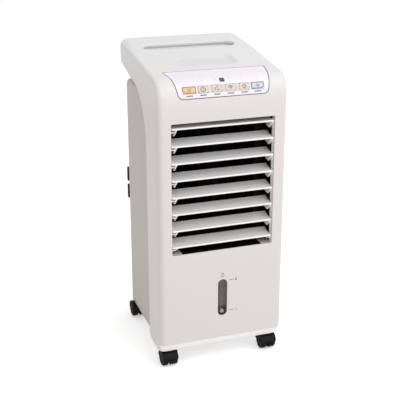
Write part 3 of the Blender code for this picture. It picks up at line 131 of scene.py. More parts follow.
class CoolerSizes(PropertyGroup):
    """Sizes of the cabinet's surfaces that the frame's boxes don't give."""

    slope: angle("Top slope", 8.77, "How far the top falls towards the front")
    shoulder: length("Shoulder radius", 0.042, "Radius between the front and the top")
    rear_round: length("Rear edge radius", 0.010, "Radius between the top and the visor's back")
    kick_run: length("Kick depth", 0.009, "How far the front's foot is set back")
    kick_rise: length("Kick height", 0.018, "Height of the set-back strip at the foot")
    kick_round: length("Kick edge radius", 0.0015, "Radius of the edge above the kick strip")
    visor_height: length("Visor height", 0.045, "Height of the visor's back")
    band_depth: length("Band depth", 0.089, "Depth of the hood's side bands")
    band_foot: length("Band foot radius", 0.012, "Radius of the band's lower rear corner")
    sweep_run: length("Sweep run", 0.111, "Depth of the curve from band to visor")
    sweep_rise: length("Sweep rise", 0.127, "Height of the curve from band to visor")
    sweep_drop: length("Sweep drop", 0.073, "How far the curve's top lies under the cabinet's top")
    front_edge: length("Front edge radius", 0.013, "Radius of the hood's upright front edges")
    top_edge: length("Top edge radius", 0.009, "Radius of the hood's upper side edges")
    back_edge: length("Back edge radius", 0.025, "Radius of the visor's rear corners")
    wall: length("Wall", 0.0022, "Thickness of the mouldings")
    opening_half: length("Opening half width", 0.116, "Half the width of the air outlet")
    opening_foot: length("Opening foot", 0.2758, "Height of the air outlet's lower edge")
    opening_top: length("Opening top", 0.5678, "Height of the air outlet's upper edge")
    panel_foot: length("Panel foot half width", 0.099, "Half the control panel's width at its foot")
    panel_head: length("Panel head half width", 0.115, "Half the control panel's width at its head")
    panel_reach: length("Panel reach", 0.066, "Depth from the front to the control panel's head")
    panel_recess: length("Panel recess", 0.0015, "Depth of the recess that takes the film")
    film: length("Film", 0.0012, "Thickness of the printed film")
    tray_half: length("Tray half width", 0.065, "Half the width of the shallow tray")
    tray_front: length("Tray front", 0.095, "Depth from the front to the tray")
    tray_back: length("Tray back", 0.150, "Depth from the front to the tray's rear edge")
    tray_depth: length("Tray depth", 0.0042, "Depth of the shallow tray")
    slot_front: length("Slot front", 0.209, "Depth from the front to the hand slot")
    slot_back: length("Slot back", 0.246, "Depth from the front to the hand slot's rear edge")
    slot_half: length("Slot half width", 0.108, "Half the width of the hand slot")
    blade_chord: length("Blade chord", 0.038, "Depth of an outlet blade")
    blade_rise: length("Blade rise", 0.007, "How far a blade rises towards its rear edge")
    blade_thick: length("Blade thickness", 0.0022, "Thickness of an outlet blade")
    blade_lip: length("Blade lip", 0.0036, "Height of a blade's front lip")
    ear_drop: length("Ear drop", 0.0175, "How far a blade's end plates hang under its lip")
    ear_back: length("Ear set-back", 0.019, "Depth from a blade's lip to the foot of its end plates")
    ear_thick: length("Ear thickness", 0.0035, "Thickness of a blade's end plates")
    ear_inset: length("Ear inset", 0.0085, "How far the left end plate sits in from the blade's end")
    cheek_depth: length("Cheek depth", 0.011, "Depth of the white cheeks at the outlet's sides")
    ledge: length("Ledge start", 0.092, "Where the pale ledges on the outlet's floor begin")
    key_low: angle("Key foot", 15.5, "Where the keys begin on the shoulder")
    key_high: angle("Key head", 36.5, "Where the keys end on the shoulder")
    display_at: angle("Display place", 52.0, "Where the display sits on the shoulder")
    wheel: length("Wheel radius", 0.0185, "Radius of the castor wheels")
    fender_gap: length("Fender gap", 0.0023, "How far the castor's hood stands off its wheels")


class CoolerColours(PropertyGroup):
    """Colours of the finishes, in linear light."""

    shell: colour("Shell", (0.800, 0.795, 0.792), "Upper part of the hood and of the intake cover")
    # Painted shade: the lower part is set darker and warmer to stand for the shade low on the cabinet
    shell_low_shaded: colour("Warm shell", (0.716, 0.678, 0.661), "Lower part of the hood and of the intake cover")
    # Painted light: the kick strip is set paler to stand for the light bounced up onto it from the floor
    kick: colour("Kick strip", (0.950, 0.940, 0.920), "Set-back strip at the hood's foot")
    # Painted light: paler than the shell, to stand for the light on the blades' lips and on the cheeks that
    # stand in shade
    blade: colour("Blades", (0.920, 0.905, 0.895), "Outlet blades and the outlet's cheeks")
    inner: colour("Inner", (0.760, 0.755, 0.750), "Frames and plates inside the cabinet")
    housing: colour("Housing", (0.500, 0.460, 0.428), "Upper part of the rear housing")
    housing_warm: colour("Warm housing", (0.488, 0.440, 0.405), "Lower part of the rear housing")
    film: colour("Film", (0.855, 0.800, 0.865), "Control panel film")
    strip: colour("Strip", (0.665, 0.590, 0.510), "Printed strip and the four middle keys")
    orange: colour("Orange key", (0.740, 0.500, 0.285), "Left key")
    orange_line: colour("Orange outline", (0.360, 0.190, 0.095), "Outline of the left key")
    blue: colour("Blue key", (0.540, 0.610, 0.665), "Right key")
    blue_line: colour("Blue outline", (0.100, 0.130, 0.175), "Outline of the right key")
    print_ink: colour("Ink", (0.025, 0.025, 0.040), "Printed marks")
    lit: colour("Digits", (0.260, 0.270, 0.280), "Display digits")
    black: colour("Black", (0.003, 0.003, 0.003), "Duct, vanes, fan and display")
    rubber: colour("Castor", (0.007, 0.007, 0.007), "Castors and grips")
    smoke: colour("Smoked window", (0.134, 0.098, 0.082), "Level window")
    float_bead: colour("Float", (0.850, 0.840, 0.820), "Level float")
    tank: colour("Tank", (0.520, 0.525, 0.525), "Water tank")
    pad: colour("Pad", (0.230, 0.120, 0.055), "Wet pad")
    steel: colour("Steel", (0.520, 0.520, 0.530), "Motor cans")
    board: colour("Board", (0.020, 0.120, 0.050), "Control board")
    hose: colour("Hose", (0.660, 0.680, 0.690), "Water hose")
    hose_ring: colour("Hose rings", (0.460, 0.480, 0.490), "Darker rings along the water hose")


class CoolerStudio(PropertyGroup):
    """Camera and light."""

    place: FloatVectorProperty(
        name="Camera place",
        description="Where the camera stands",
        default=(-0.6230, -1.7777, 1.0215),
        unit="LENGTH",
    )
    lens: factor("Lens", 77.38, "Focal length in millimetres on a 36 mm frame")
    shift: FloatProperty(name="Shift", description="Vertical shift of the frame", default=-0.04)
    yaw: angle("Yaw", 19.34, "Camera's turn to the right")
    pitch: angle("Pitch", 18.87, "Camera's tilt downwards")
    sky: factor("Sky", 0.67, "Strength of the even light all round")
    key: factor("Key", 20.5, "Power of the lamp above, in watts")
    fill: factor("Fill", 5.0, "Power of the lamp in front, in watts")
    glow: factor("Floor glow", 0.42, "How far the seen floor is lifted towards white")


# Finishes


class Signal:
    """A node's output in a material; arithmetic on it adds Math nodes."""

    def __init__(self, paint, socket):
        self.paint = paint
        self.socket = socket

    def math(self, operation, first, second):
        """One Math node on two values or signals."""
        return self.paint.node("ShaderNodeMath", {"operation": operation}, {0: first, 1: second})

    def __add__(self, other):
        return self.math("ADD", self, other)

    __radd__ = __add__

    def __mul__(self, other):
        return self.math("MULTIPLY", self, other)

    __rmul__ = __mul__

    def __sub__(self, other):
        return self.math("SUBTRACT", self, other)

    def __rsub__(self, other):
        return self.math("SUBTRACT", other, self)

    def __abs__(self):
        return self.math("ABSOLUTE", self, 0.0)

    def ramp(self, low, high):
        """0 below low, 1 above high and a smooth step between."""
        sockets = {"Value": self, "From Min": low, "From Max": high}
        return self.paint.node("ShaderNodeMapRange", {"interpolation_type": "SMOOTHSTEP"}, sockets)


class Paint:
    """A material around one Principled shader."""

    def __init__(self, name, **constants):
        self.material = bpy.data.materials.new(name)
        self.material.use_nodes = True
        self.tree = self.material.node_tree
        self.shader = self.tree.nodes["Principled BSDF"]
        for socket, value in constants.items():
            self.shader.inputs[socket.replace("_", " ")].default_value = value

    def node(self, kind, settings, sockets, output=0):
        """Adds a node: its settings first, then the values or links of its sockets."""
        node = self.tree.nodes.new(kind)
        for key, value in settings.items():
            setattr(node, key, value)
        for key, value in sockets.items():
            if isinstance(value, Signal):
                self.tree.links.new(value.socket, node.inputs[key])
            else:
                node.inputs[key].default_value = value
        return Signal(self, node.outputs[output])

    def place(self):
        """The point on the surface, in metres."""
        return self.node("ShaderNodeTexCoord", {}, {}, "Object")

    def axis(self, vector, index):
        """One coordinate of a vector."""
        return self.node("ShaderNodeSeparateXYZ", {}, {0: vector}, index)

    def noise(self, scale, detail=2.0, stretch=(1.0, 1.0, 1.0)):
        """Cloudy noise from 0 to 1, scale in cells per metre."""
        spot = self.node("ShaderNodeMapping", {}, {"Vector": self.place(), "Scale": stretch})
        return self.node("ShaderNodeTexNoise", {}, {"Vector": spot, "Scale": scale, "Detail": detail})

    def mix(self, share, first, second):
        """A colour between two colours."""
        sockets = {0: share, 6: opaque(first), 7: opaque(second)}
        return self.node("ShaderNodeMix", {"data_type": "RGBA"}, sockets, 2)

    def bump(self, height, depth):
        """A Bump node on the shader's Normal; height 1 stands depth metres proud."""
        sockets = {"Height": height, "Distance": depth, "Strength": 1.0}
        self.feed("Normal", self.node("ShaderNodeBump", {}, sockets))

    def feed(self, socket, signal):
        """Links a signal to the shader."""
        self.tree.links.new(signal.socket, self.shader.inputs[socket])


def opaque(tone):
    """A colour with full cover, or a signal as it is."""
    return tone if isinstance(tone, Signal) else (*tone, 1.0)


def toned(tone, share):
    """A colour made darker or lighter by a share."""
    return tuple(min(1.0, part * share) for part in tone)


def moulded(name, tone, rough, mottle=0.03, grain=0.00004, coat=0.0, shine=0.5):
    """Moulded plastic: faint cloudy tone, a fine spark-eroded grain and uneven gloss."""
    paint = Paint(name, Coat_Weight=coat, Coat_Roughness=0.25, Specular_IOR_Level=shine)
    cloud = paint.noise(14.0, detail=3.0)
    fine = paint.noise(900.0, detail=2.0)
    paint.feed("Base Color", paint.mix(cloud, toned(tone, 1 - mottle), toned(tone, 1 + mottle)))
    paint.feed("Roughness", rough - 0.06 + 0.08 * fine + 0.04 * cloud)
    paint.bump(fine, grain)
    return paint.material


def scuffed(paint, base, tone):
    """Finishes shell plastic over a base colour: faint clouds, upright scuffs and a fine grain."""
    cloud = paint.noise(11.0, detail=3.0)
    fine = paint.noise(1100.0, detail=2.0)
    scuff = paint.noise(60.0, detail=6.0, stretch=(1.0, 1.0, 0.25)).ramp(0.66, 0.80)
    paint.feed("Base Color", paint.mix(0.04 * cloud + 0.04 * scuff, base, toned(tone, 0.55)))
    paint.feed("Roughness", 0.36 + 0.06 * fine + 0.05 * cloud + 0.05 * scuff)
    paint.bump(fine, depth=0.00003)
    return paint.material


def cabinet_white_and_painted_light(sizes, colours):
    """White of the hood, intake cover and turn button, made once: darker and warmer low down as painted
    shade, the kick strip paler as painted light.
    """
    made = bpy.data.materials.get("cabinet_white_and_painted_light")
    if made:
        return made
    paint = Paint("cabinet_white_and_painted_light", Specular_IOR_Level=0.45)
    spot = paint.place()
    height = paint.axis(spot, Z)
    blades_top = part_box("louver_1")[1].z
    # Painted shade: the white darkens and warms from the blades' top down to the foot
    base = paint.mix(height.ramp(blades_top, HOOD_HIGH.z), colours.shell_low_shaded, colours.shell)
    blur = 0.0004
    # Painted light: the kick strip below this height is paler than the front
    kick_top = HOOD_LOW.z + sizes.kick_rise
    kick_back = HOOD_LOW.y + sizes.kick_run
    low = height.ramp(kick_top + blur, kick_top - blur)
    front = paint.axis(spot, Y).ramp(kick_back + 10 * blur, kick_back)
    return scuffed(paint, paint.mix(low * front, base, colours.kick), colours.shell)


def housing_grey(colours):
    """Warm grey of the rear housing, a little warmer towards its foot."""
    paint = Paint("housing_grey", Specular_IOR_Level=0.45)
    height = paint.axis(paint.place(), Z)
    base = paint.mix(height.ramp(HOUSING_LOW.z, HOUSING_HIGH.z), colours.housing_warm, colours.housing)
    return scuffed(paint, base, colours.housing)


# Meshes


class Skin:
    """Points and faces gathered as whole arrays for one mesh."""

    def __init__(self):
        self.points = []
        self.faces = []
        self.tints = []
        self.total = 0

    def add(self, points):
        """Adds points of any array shape and returns their numbers in that shape."""
        flat = np.asarray(points, float).reshape(-1, 3)
        numbers = np.arange(self.total, self.total + len(flat))
        self.points.append(flat)
        self.total += len(flat)
        return numbers.reshape(points.shape[:-1])

    def quads(self, numbers, tint=0, keep=None, closed=False):
        """Joins a grid of numbers row to row; keep says which cells stay, closed joins its two sides."""
        if closed:
            numbers = np.concatenate([numbers, numbers[:, :1]], axis=1)
        cells = np.stack([numbers[:-1, :-1], numbers[:-1, 1:], numbers[1:, 1:], numbers[1:, :-1]], axis=-1)
        cells = cells.reshape(-1, 4) if keep is None else cells[keep]
        self.faces += cells.tolist()
        self.tints += [tint] * len(cells)

    def lid(self, ring, tint=0):
        """One flat face on a ring of numbers."""
        self.faces.append(ring.tolist())
        self.tints.append(tint)

    def tube(self, rings, tint=0, start=True):
        """Rings of points joined one to the next, with a lid on the last and, if start, on the first."""
        numbers = self.add(rings)
        self.quads(numbers, tint, closed=True)
        if start:
            self.lid(numbers[0, ::-1], tint)
        self.lid(numbers[-1], tint)


def finish_piece(name, skin, body, finishes, nodes=(), crease=38.0, wall=0.0):
    """Turns a skin into a smooth object that rides a body and stands for CAD nodes; crease in degrees."""
    mesh = bpy.data.meshes.new(name)
    mesh.from_pydata(np.concatenate(skin.points).tolist(), [], skin.faces)
    mesh.polygons.foreach_set("material_index", skin.tints)
    shape = bmesh.new()
    shape.from_mesh(mesh)
    bmesh.ops.remove_doubles(shape, verts=shape.verts, dist=SEAM)
    shape.to_mesh(mesh)
    shape.free()
    mesh.shade_smooth()
    mesh.set_sharp_from_angle(angle=radians(crease))
    for material in finishes:
        mesh.materials.append(material)
    thing = bpy.data.objects.new(name, mesh)
    bpy.context.scene.collection.objects.link(thing)
    if wall:
        shell = thing.modifiers.new("wall", "SOLIDIFY")
        shell.thickness = wall
        shell.offset = -1.0
    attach(thing, body)
    if nodes:
        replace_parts(thing, *nodes)
    return thing


def rounded(corners, radii, steps=8, closed=True):
    """Straight lines between corners, each corner an arc that swings between its two tangent points."""
    corners = np.asarray(corners, float)
    before = np.roll(corners, 1, axis=0) - corners
    after = np.roll(corners, -1, axis=0) - corners
    before /= np.linalg.norm(before, axis=1, keepdims=True)
    after /= np.linalg.norm(after, axis=1, keepdims=True)
    half = np.arccos(np.clip((before * after).sum(axis=1), -1 + SEAM, 1 - SEAM))[:, None] / 2
    radius = np.maximum(np.broadcast_to(radii, len(corners)), HAIR)[:, None]
    bisector = before + after
    bisector /= np.maximum(np.linalg.norm(bisector, axis=1, keepdims=True), SEAM)
    centre = corners + bisector * radius / np.sin(half)
    start = corners + before * radius / np.tan(half) - centre
    end = corners + after * radius / np.tan(half) - centre
    swing = pi - 2 * half
    share = np.linspace(0, 1, steps + 1)
    lead = np.sin((1 - share) * swing) / np.sin(swing)
    trail = np.sin(share * swing) / np.sin(swing)
    arcs = centre[:, None] + lead[..., None] * start[:, None] + trail[..., None] * end[:, None]
    if closed:
        return arcs.reshape(-1, 2)
    return np.concatenate([corners[:1], arcs[1:-1].reshape(-1, 2), corners[-1:]])


def circle(centre, radius, sides):
    """Points round a circle, counter-clockwise."""
    turn = np.arange(sides) * 2 * pi / sides
    return np.stack([centre[0] + radius * np.cos(turn), centre[1] + radius * np.sin(turn)], axis=1)


def rectangle(left, right, foot, top):
    """Corners of a rectangle, from the left one at its foot."""
    return np.asarray([(left, foot), (right, foot), (right, top), (left, top)])


def middle_and_half(low, high):
    """The middle between two places, and half their distance."""
    return (low + high) / 2, (high - low) / 2


def counter_clockwise(outline):
    """The outline in counter-clockwise order."""
    ahead = np.roll(outline, -1, axis=0)
    area = (outline[:, 0] * ahead[:, 1] - ahead[:, 0] * outline[:, 1]).sum()
    return outline if area > 0 else outline[::-1]


def nested(outline, insets):
    """A counter-clockwise outline moved inwards along its normals, once for each inset."""
    along = np.roll(outline, -1, axis=0) - np.roll(outline, 1, axis=0)
    along /= np.linalg.norm(along, axis=1, keepdims=True)
    return outline + np.reshape(insets, (-1, 1, 1)) * np.stack([-along[:, 1], along[:, 0]], axis=1)


def spread(axis, along, flat):
    """Puts points of a plane and their place along its axis into x, y, z, in cyclic order."""
    stack = np.concatenate([np.broadcast_to(along, flat.shape[:-1])[..., None], flat], axis=-1)
    return np.roll(stack, axis, axis=-1)


def prism(skin, axis, outline, low, high, edge, tint=0):
    """An outline carried from low to high along an axis, with quarter-round rims of radius edge."""
    outline = counter_clockwise(np.asarray(outline, float))
    turn = np.linspace(0, pi / 2, 4)
    inset = edge * (1 - np.sin(turn))
    rise = edge * (1 - np.cos(turn))
    places = np.concatenate([low + rise, (high - rise)[::-1]])
    rings = nested(outline, np.concatenate([inset, inset[::-1]]))
    skin.tube(spread(axis, places[:, None], rings), tint)


def turned(axis, profile, centre, sides):
    """Rings of a profile of (place along the axis, radius), turned about that axis through centre."""
    profile = np.asarray(profile, float)
    rings = np.asarray(centre) + profile[:, 1][:, None, None] * circle((0.0, 0.0), 1.0, sides)
    return spread(axis, profile[:, :1], rings)


def lathe(skin, axis, profile, centre, sides):
    """A turned profile with a lid on each end."""
    skin.tube(turned(axis, profile, centre, sides))


class Sheet:
    """A surface bent along a side-view path: the path's point at length u, moved by x and lifted."""

    def __init__(self, path):
        self.path = np.asarray(path, float)
        step = np.diff(self.path, axis=0)
        span = np.linalg.norm(step, axis=1)
        self.length = np.concatenate([[0.0], np.cumsum(span)])
        heading = step / span[:, None]
        heading = np.concatenate([heading[:1], heading[:-1] + heading[1:], heading[-1:]])
        heading /= np.linalg.norm(heading, axis=1, keepdims=True)
        self.normal = np.stack([-heading[:, 1], heading[:, 0]], axis=1)

    def at(self, u):
        """The path's (y, z) at length u."""
        return np.stack([np.interp(u, self.length, self.path[:, part]) for part in (0, 1)], axis=-1)

    def facing(self, u):
        """The path's normal at length u."""
        return np.stack([np.interp(u, self.length, self.normal[:, part]) for part in (0, 1)], axis=-1)

    def place(self, spots, lift):
        """Points in space for spots of (x, u), lifted along the path's normal."""
        x, u, lift = np.broadcast_arrays(spots[..., 0], spots[..., 1], lift)
        point = self.at(u) + self.facing(u) * lift[..., None]
        return np.concatenate([x[..., None], point], axis=-1)


class Hole(NamedTuple):
    """A rounded hole in a sheet: profile lists (growth, lift) pairs from the sheet to the hole's floor."""

    centre: tuple
    half: tuple
    radius: float
    profile: list
    margin: float = 0.003
    taper: float = 0.0
    floor: bool = False
    foot_radius: float = 0.0
    tint: int = 0

    def marks(self, part):
        """Grid lines that the hole needs across (0) or along (1) the sheet."""
        lines = np.linspace(self.half[part] - self.widest(), self.reach(part), 8)
        return self.centre[part] + np.concatenate([-lines[::-1], lines])

    def reach(self, part):
        """How far from the hole's centre the sheet's own cells begin."""
        spare = self.half[0] * abs(self.taper) * self.half[1] if part == 0 else 0.0
        return self.half[part] + spare + self.margin

    def widest(self):
        """The larger of the two corner radii."""
        return max(self.radius, self.foot_radius)

    def outline(self, spots, growth):
        """Spots pushed onto a rounded rectangle: out from the nearest point of its core by its radius."""
        local = spots - np.asarray(self.centre)
        local[:, 0] /= 1 + self.taper * local[:, 1]
        radius = np.where(local[:, 1:] < 0, self.foot_radius or self.radius, self.radius)
        core = np.maximum(np.asarray(self.half) - radius, 0.0)
        inner = np.clip(local, -core, core)
        reach = local - inner
        reach /= np.maximum(np.linalg.norm(reach, axis=1, keepdims=True), SEAM)
        edge = inner + reach * (radius + growth)
        edge[:, 0] *= 1 + self.taper * edge[:, 1]
        return edge + np.asarray(self.centre)


def rim(radius, depth, steps=4):
    """Profile of a hole's edge: a quarter round of a radius, then a wall down to a depth."""
    turn = np.linspace(0, pi / 2, steps + 1)
    profile = list(zip(radius * (1 - np.sin(turn)), -radius * (1 - np.cos(turn))))
    return profile + [(0.0, -depth)]


def grid_lines(low, high, pitch, *marks):
    """Sorted lines from low to high, about pitch apart, with extra marks among them."""
    spaced = np.linspace(low, high, max(2, int(round((high - low) / pitch)) + 1))
    lines = np.concatenate([spaced, *marks])
    return np.unique(np.round(lines[(lines >= low) & (lines <= high)], 7))


def ring_cells(rows, columns):
    """Row and column numbers round a block of cells, counter-clockwise."""
    (low, high), (left, right) = rows, columns
    tall, wide = high - low, right - left
    row = [np.full(wide, low), np.arange(low, high), np.full(wide, high), np.arange(high, low, -1)]
    column = [np.arange(left, right), np.full(tall, right), np.arange(right, left, -1), np.full(tall, left)]
    return np.concatenate(row), np.concatenate(column)


def perforate(skin, sheet, numbers, spots, keep, holes):
    """Cuts holes into a grid on a sheet: drops the cells and fills in rings along each hole's profile."""
    down = spots[:, spots.shape[1] // 2, 1]
    across = spots[spots.shape[0] // 2, :, 0]
    for hole in holes:
        rows, columns = [
            [np.abs(lines - hole.centre[part] - side * hole.reach(part)).argmin() for side in (-1, 1)]
            for part, lines in ((1, down), (0, across))
        ]
        keep[slice(*rows), slice(*columns)] = False
        row, column = ring_cells(rows, columns)
        rings = [numbers[row, column]]
        for growth, lift in hole.profile:
            edge = hole.outline(spots[row, column], growth)
            rings.append(skin.add(sheet.place(edge, lift)))
        skin.quads(np.stack(rings[:2]), closed=True)
        skin.quads(np.stack(rings[1:]), hole.tint, closed=True)
        if hole.floor:
            skin.lid(rings[-1], hole.tint)


def plate(skin, sheet, shape, thick, edge, pitch, lift=0.0, crown=0.0, holes=()):
    """A rounded plate on a sheet: a grid with holes, a rim with a quarter-round edge, and a back."""
    inset = 0.4 * shape.widest() + edge
    lines = []
    for part, middle in enumerate(shape.centre):
        end = shape.half[part] - inset
        lines.append(grid_lines(middle - end, middle + end, pitch, *[hole.marks(part) for hole in holes]))
    x, u = lines
    widen = 1 + shape.taper * (u - shape.centre[1])[:, None]
    aside = shape.centre[0] + (x - shape.centre[0]) * widen
    spots = np.stack(np.broadcast_arrays(aside, u[:, None]), axis=-1)
    swell = lift + crown * np.prod(1 - ((spots - shape.centre) / np.asarray(shape.half)) ** 2, axis=-1)
    numbers = skin.add(sheet.place(spots, swell))
    keep = np.ones((len(u) - 1, len(x) - 1), bool)
    perforate(skin, sheet, numbers, spots, keep, holes)
    skin.quads(numbers, keep=keep)
    row, column = ring_cells((0, len(u) - 1), (0, len(x) - 1))
    turn = np.linspace(0, pi / 2, 4)
    profile = [(0.0, lift - thick), *zip(edge * (np.cos(turn) - 1), lift - edge * (1 - np.sin(turn)))]
    rings = []
    for growth, rise in profile:
        ring = shape.outline(spots[row, column], growth)
        rings.append(skin.add(sheet.place(ring, rise)))
    rings.append(numbers[row, column])
    skin.quads(np.stack(rings), closed=True)
    if not holes:
        skin.lid(rings[0][::-1])


def shell_grid(sheet, u, x, half, edge, rear):
    """A bent shell: flat over x, a quarter round of radius edge, then straight down each side to rear."""
    arc, side = 9, 9
    path = sheet.at(u)
    run = rear - path
    reach = np.linalg.norm(run, axis=1, keepdims=True)
    turn = np.linspace(0, pi / 2, arc + 1)
    edge = edge[:, None]
    across = np.concatenate([half - edge + edge * np.sin(turn), np.full((len(u), side), half)], axis=1)
    steps = np.linspace(0, 1, side + 1)[1:]
    down = np.concatenate([edge * (1 - np.cos(turn)), edge + (reach - edge) * steps], axis=1)
    flat = np.broadcast_to(x, (len(u), len(x)))
    width = np.concatenate([-across[:, ::-1], flat, across], axis=1)
    depth = np.concatenate([down[:, ::-1], np.zeros(flat.shape), down], axis=1)
    spot = path[:, None] + depth[..., None] * (run / reach)[:, None]
    return np.concatenate([width[..., None], spot], axis=-1), arc + 1 + side


def lay_shell(skin, sheet, u, x, grid, first, holes, door=None):
    """Joins a shell's grid, cuts holes in its flat part, which starts at column first, and opens a door."""
    numbers = skin.add(grid)
    keep = np.ones((grid.shape[0] - 1, grid.shape[1] - 1), bool)
    flat = keep[:, first:first + len(x) - 1]
    spots = np.stack(np.broadcast_arrays(x[None], u[:, None]), axis=-1)
    perforate(skin, sheet, numbers[:, first:first + len(x)], spots, flat, holes)
    if door is not None:
        flat[door] = False
    skin.quads(numbers, keep=keep)


# Hood, handle cup and rear housing


def hood_sheet(sizes):
    """The hood's outer face in side view: kick, front, shoulder, sloping top, rear edge and visor."""
    front, back, foot, top = HOOD_LOW.y, HOOD_HIGH.y, HOOD_LOW.z, HOOD_HIGH.z
    crest_y = back - sizes.rear_round * (1 + sin(sizes.slope))
    crest_z = top - sizes.rear_round * (1 - cos(sizes.slope))
    rise = tan(sizes.slope)
    corners = [
        (front + sizes.kick_run, foot),
        (front, foot + sizes.kick_rise),
        (front, crest_z - (crest_y - front) * rise),
        (back, crest_z + (back - crest_y) * rise),
        (back, top - sizes.visor_height),
    ]
    radii = [0, sizes.kick_round, sizes.shoulder, sizes.rear_round, 0]
    return Sheet(rounded(corners, radii, steps=24, closed=False))


def front_length(sheet, z):
    """Length along the hood's path at a height on its front."""
    crest = sheet.path[:, 1].argmax()
    return np.interp(z, sheet.path[:crest, 1], sheet.length[:crest])


def top_length(sheet, depth):
    """Length along the hood's path at a depth behind its front."""
    crest = sheet.path[:, 1].argmax()
    shoulder = sheet.path[:crest, 0].argmin() + 1
    return np.interp(HOOD_LOW.y + np.asarray(depth), sheet.path[shoulder:, 0], sheet.length[shoulder:])


def shoulder_length(sheet, sizes, turn):
    """Length along the hood's path after turning by an angle round the shoulder."""
    arc_end = top_length(sheet, sizes.shoulder * (1 - sin(sizes.slope)))
    return arc_end - sizes.shoulder * (pi / 2 - sizes.slope - turn)


def panel_shape(sheet, sizes, gap):
    """The control panel's outline on the shoulder, grown by a gap."""
    low = shoulder_length(sheet, sizes, 0.0)
    high = top_length(sheet, sizes.panel_reach)
    middle = (sizes.panel_foot + sizes.panel_head) / 2
    taper = (sizes.panel_head - sizes.panel_foot) / (high - low) / middle
    centre = (0.0, (low + high) / 2)
    half = (middle + gap, (high - low) / 2 + gap)
    return Hole(centre, half, radius=0.006, profile=[], margin=0.0035, taper=taper, foot_radius=0.011)


def window_shape(sheet, gap):
    """The level window's outline on the front, grown by a gap."""
    low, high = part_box("gauge_window")
    middle, half = middle_and_half(*front_length(sheet, [low.z, high.z]))
    return Hole((0.0, middle), (high.x + gap, half + gap), radius=high.x + gap, profile=[])


def slot_shape(sheet, sizes):
    """The hand slot's outline on the top."""
    middle, half = middle_and_half(*top_length(sheet, [sizes.slot_front, sizes.slot_back]))
    edge = rim(radius=0.003, depth=0.009)
    return Hole((0.0, middle), (sizes.slot_half, half), radius=half, profile=edge, margin=0.004)


def hood_holes(sheet, sizes):
    """The outlet, the level window, the panel recess, the tray and the hand slot."""
    middle, half = middle_and_half(*front_length(sheet, [sizes.opening_foot, sizes.opening_top]))
    edge = rim(radius=0.0012, depth=0.0045)
    opening = Hole((0.0, middle), (sizes.opening_half, half), radius=0.0025, profile=edge)
    edge = rim(radius=0.0009, depth=0.004)
    window = window_shape(sheet, FIT)._replace(profile=edge, margin=0.004)
    lip, wall, ledge = 0.0014, 0.0003, -0.0025
    deep, under = -sizes.panel_recess, -0.004
    steps = [(lip, 0.0), (lip / 2, -0.0001), (wall, -0.0005), (wall, deep), (ledge, deep), (ledge, under)]
    recess = panel_shape(sheet, sizes, FIT)._replace(profile=steps)
    middle, half = middle_and_half(*top_length(sheet, [sizes.tray_front, sizes.tray_back]))
    share = np.linspace(0, 1, 9)
    steps = list(zip(0.006 - 0.013 * share, -sizes.tray_depth * share * share * (3 - 2 * share)))
    half = (sizes.tray_half, half)
    tray = Hole((0.0, middle), half, radius=0.014, profile=steps, margin=0.0075, floor=True, tint=1)
    return [opening, window, recess, tray, slot_shape(sheet, sizes)]


def hood_rear_edge(sheet, sizes, u):
    """The hood's rear edge for each length of its path: band foot, band, elliptical sweep to the visor."""
    band = HOOD_LOW.y + sizes.band_depth
    foot = HOOD_LOW.z
    sweep_top = HOOD_HIGH.z - sizes.sweep_drop
    sweep_foot = sweep_top - sizes.sweep_rise
    turn = np.linspace(0, pi / 2, 13)
    corner = np.stack([
        band - sizes.band_foot * (1 - np.sin(turn)), foot + sizes.band_foot * (1 - np.cos(turn))
    ], axis=1)
    turn = np.linspace(0, pi / 2, 49)
    sweep = np.stack([
        band + sizes.sweep_run * (1 - np.cos(turn)), sweep_foot + sizes.sweep_rise * np.sin(turn)
    ], axis=1)
    edge = Sheet(np.concatenate([corner, sweep]))
    level = foot + 3 * sizes.band_foot
    straight = np.interp(level, edge.path[:, 1], edge.length)
    bend = edge.length[len(corner)]
    crown = shoulder_length(sheet, sizes, pi / 2 - sizes.slope)
    crown_share = 0.42
    pairs = [
        (0.0, 0.0),
        (front_length(sheet, level), straight),
        (front_length(sheet, sweep_foot), bend),
        (crown, bend + crown_share * (edge.length[-1] - bend)),
        (sheet.length[-1], edge.length[-1]),
    ]
    return edge.at(np.interp(u, *np.array(pairs).T))


def close_underside(skin, grid, first):
    """A ruled sheet between the hood's two rear edges, left open where the housing stands."""
    half = HOOD_HIGH.x
    left = np.concatenate([grid[:-1, 0], grid[-1, :first]])
    right = left * (-1, 1, 1)
    lap = (half - HOUSING_HIGH.x) / half / 2
    share = np.concatenate([[0.0], np.linspace(lap, 1 - lap, 11), [1.0]])[::-1, None]
    under = left[:, None] + share * (right - left)[:, None]
    covered = HOUSING_HIGH.z - 0.03
    band_back = HOOD_LOW.y + 0.095
    keep = np.ones((under.shape[0] - 1, under.shape[1] - 1), bool)
    keep[:, 1:-1] = ((under[:-1, 0, 2] > covered) & (under[:-1, 0, 1] > band_back))[:, None]
    skin.quads(skin.add(under), keep=keep)


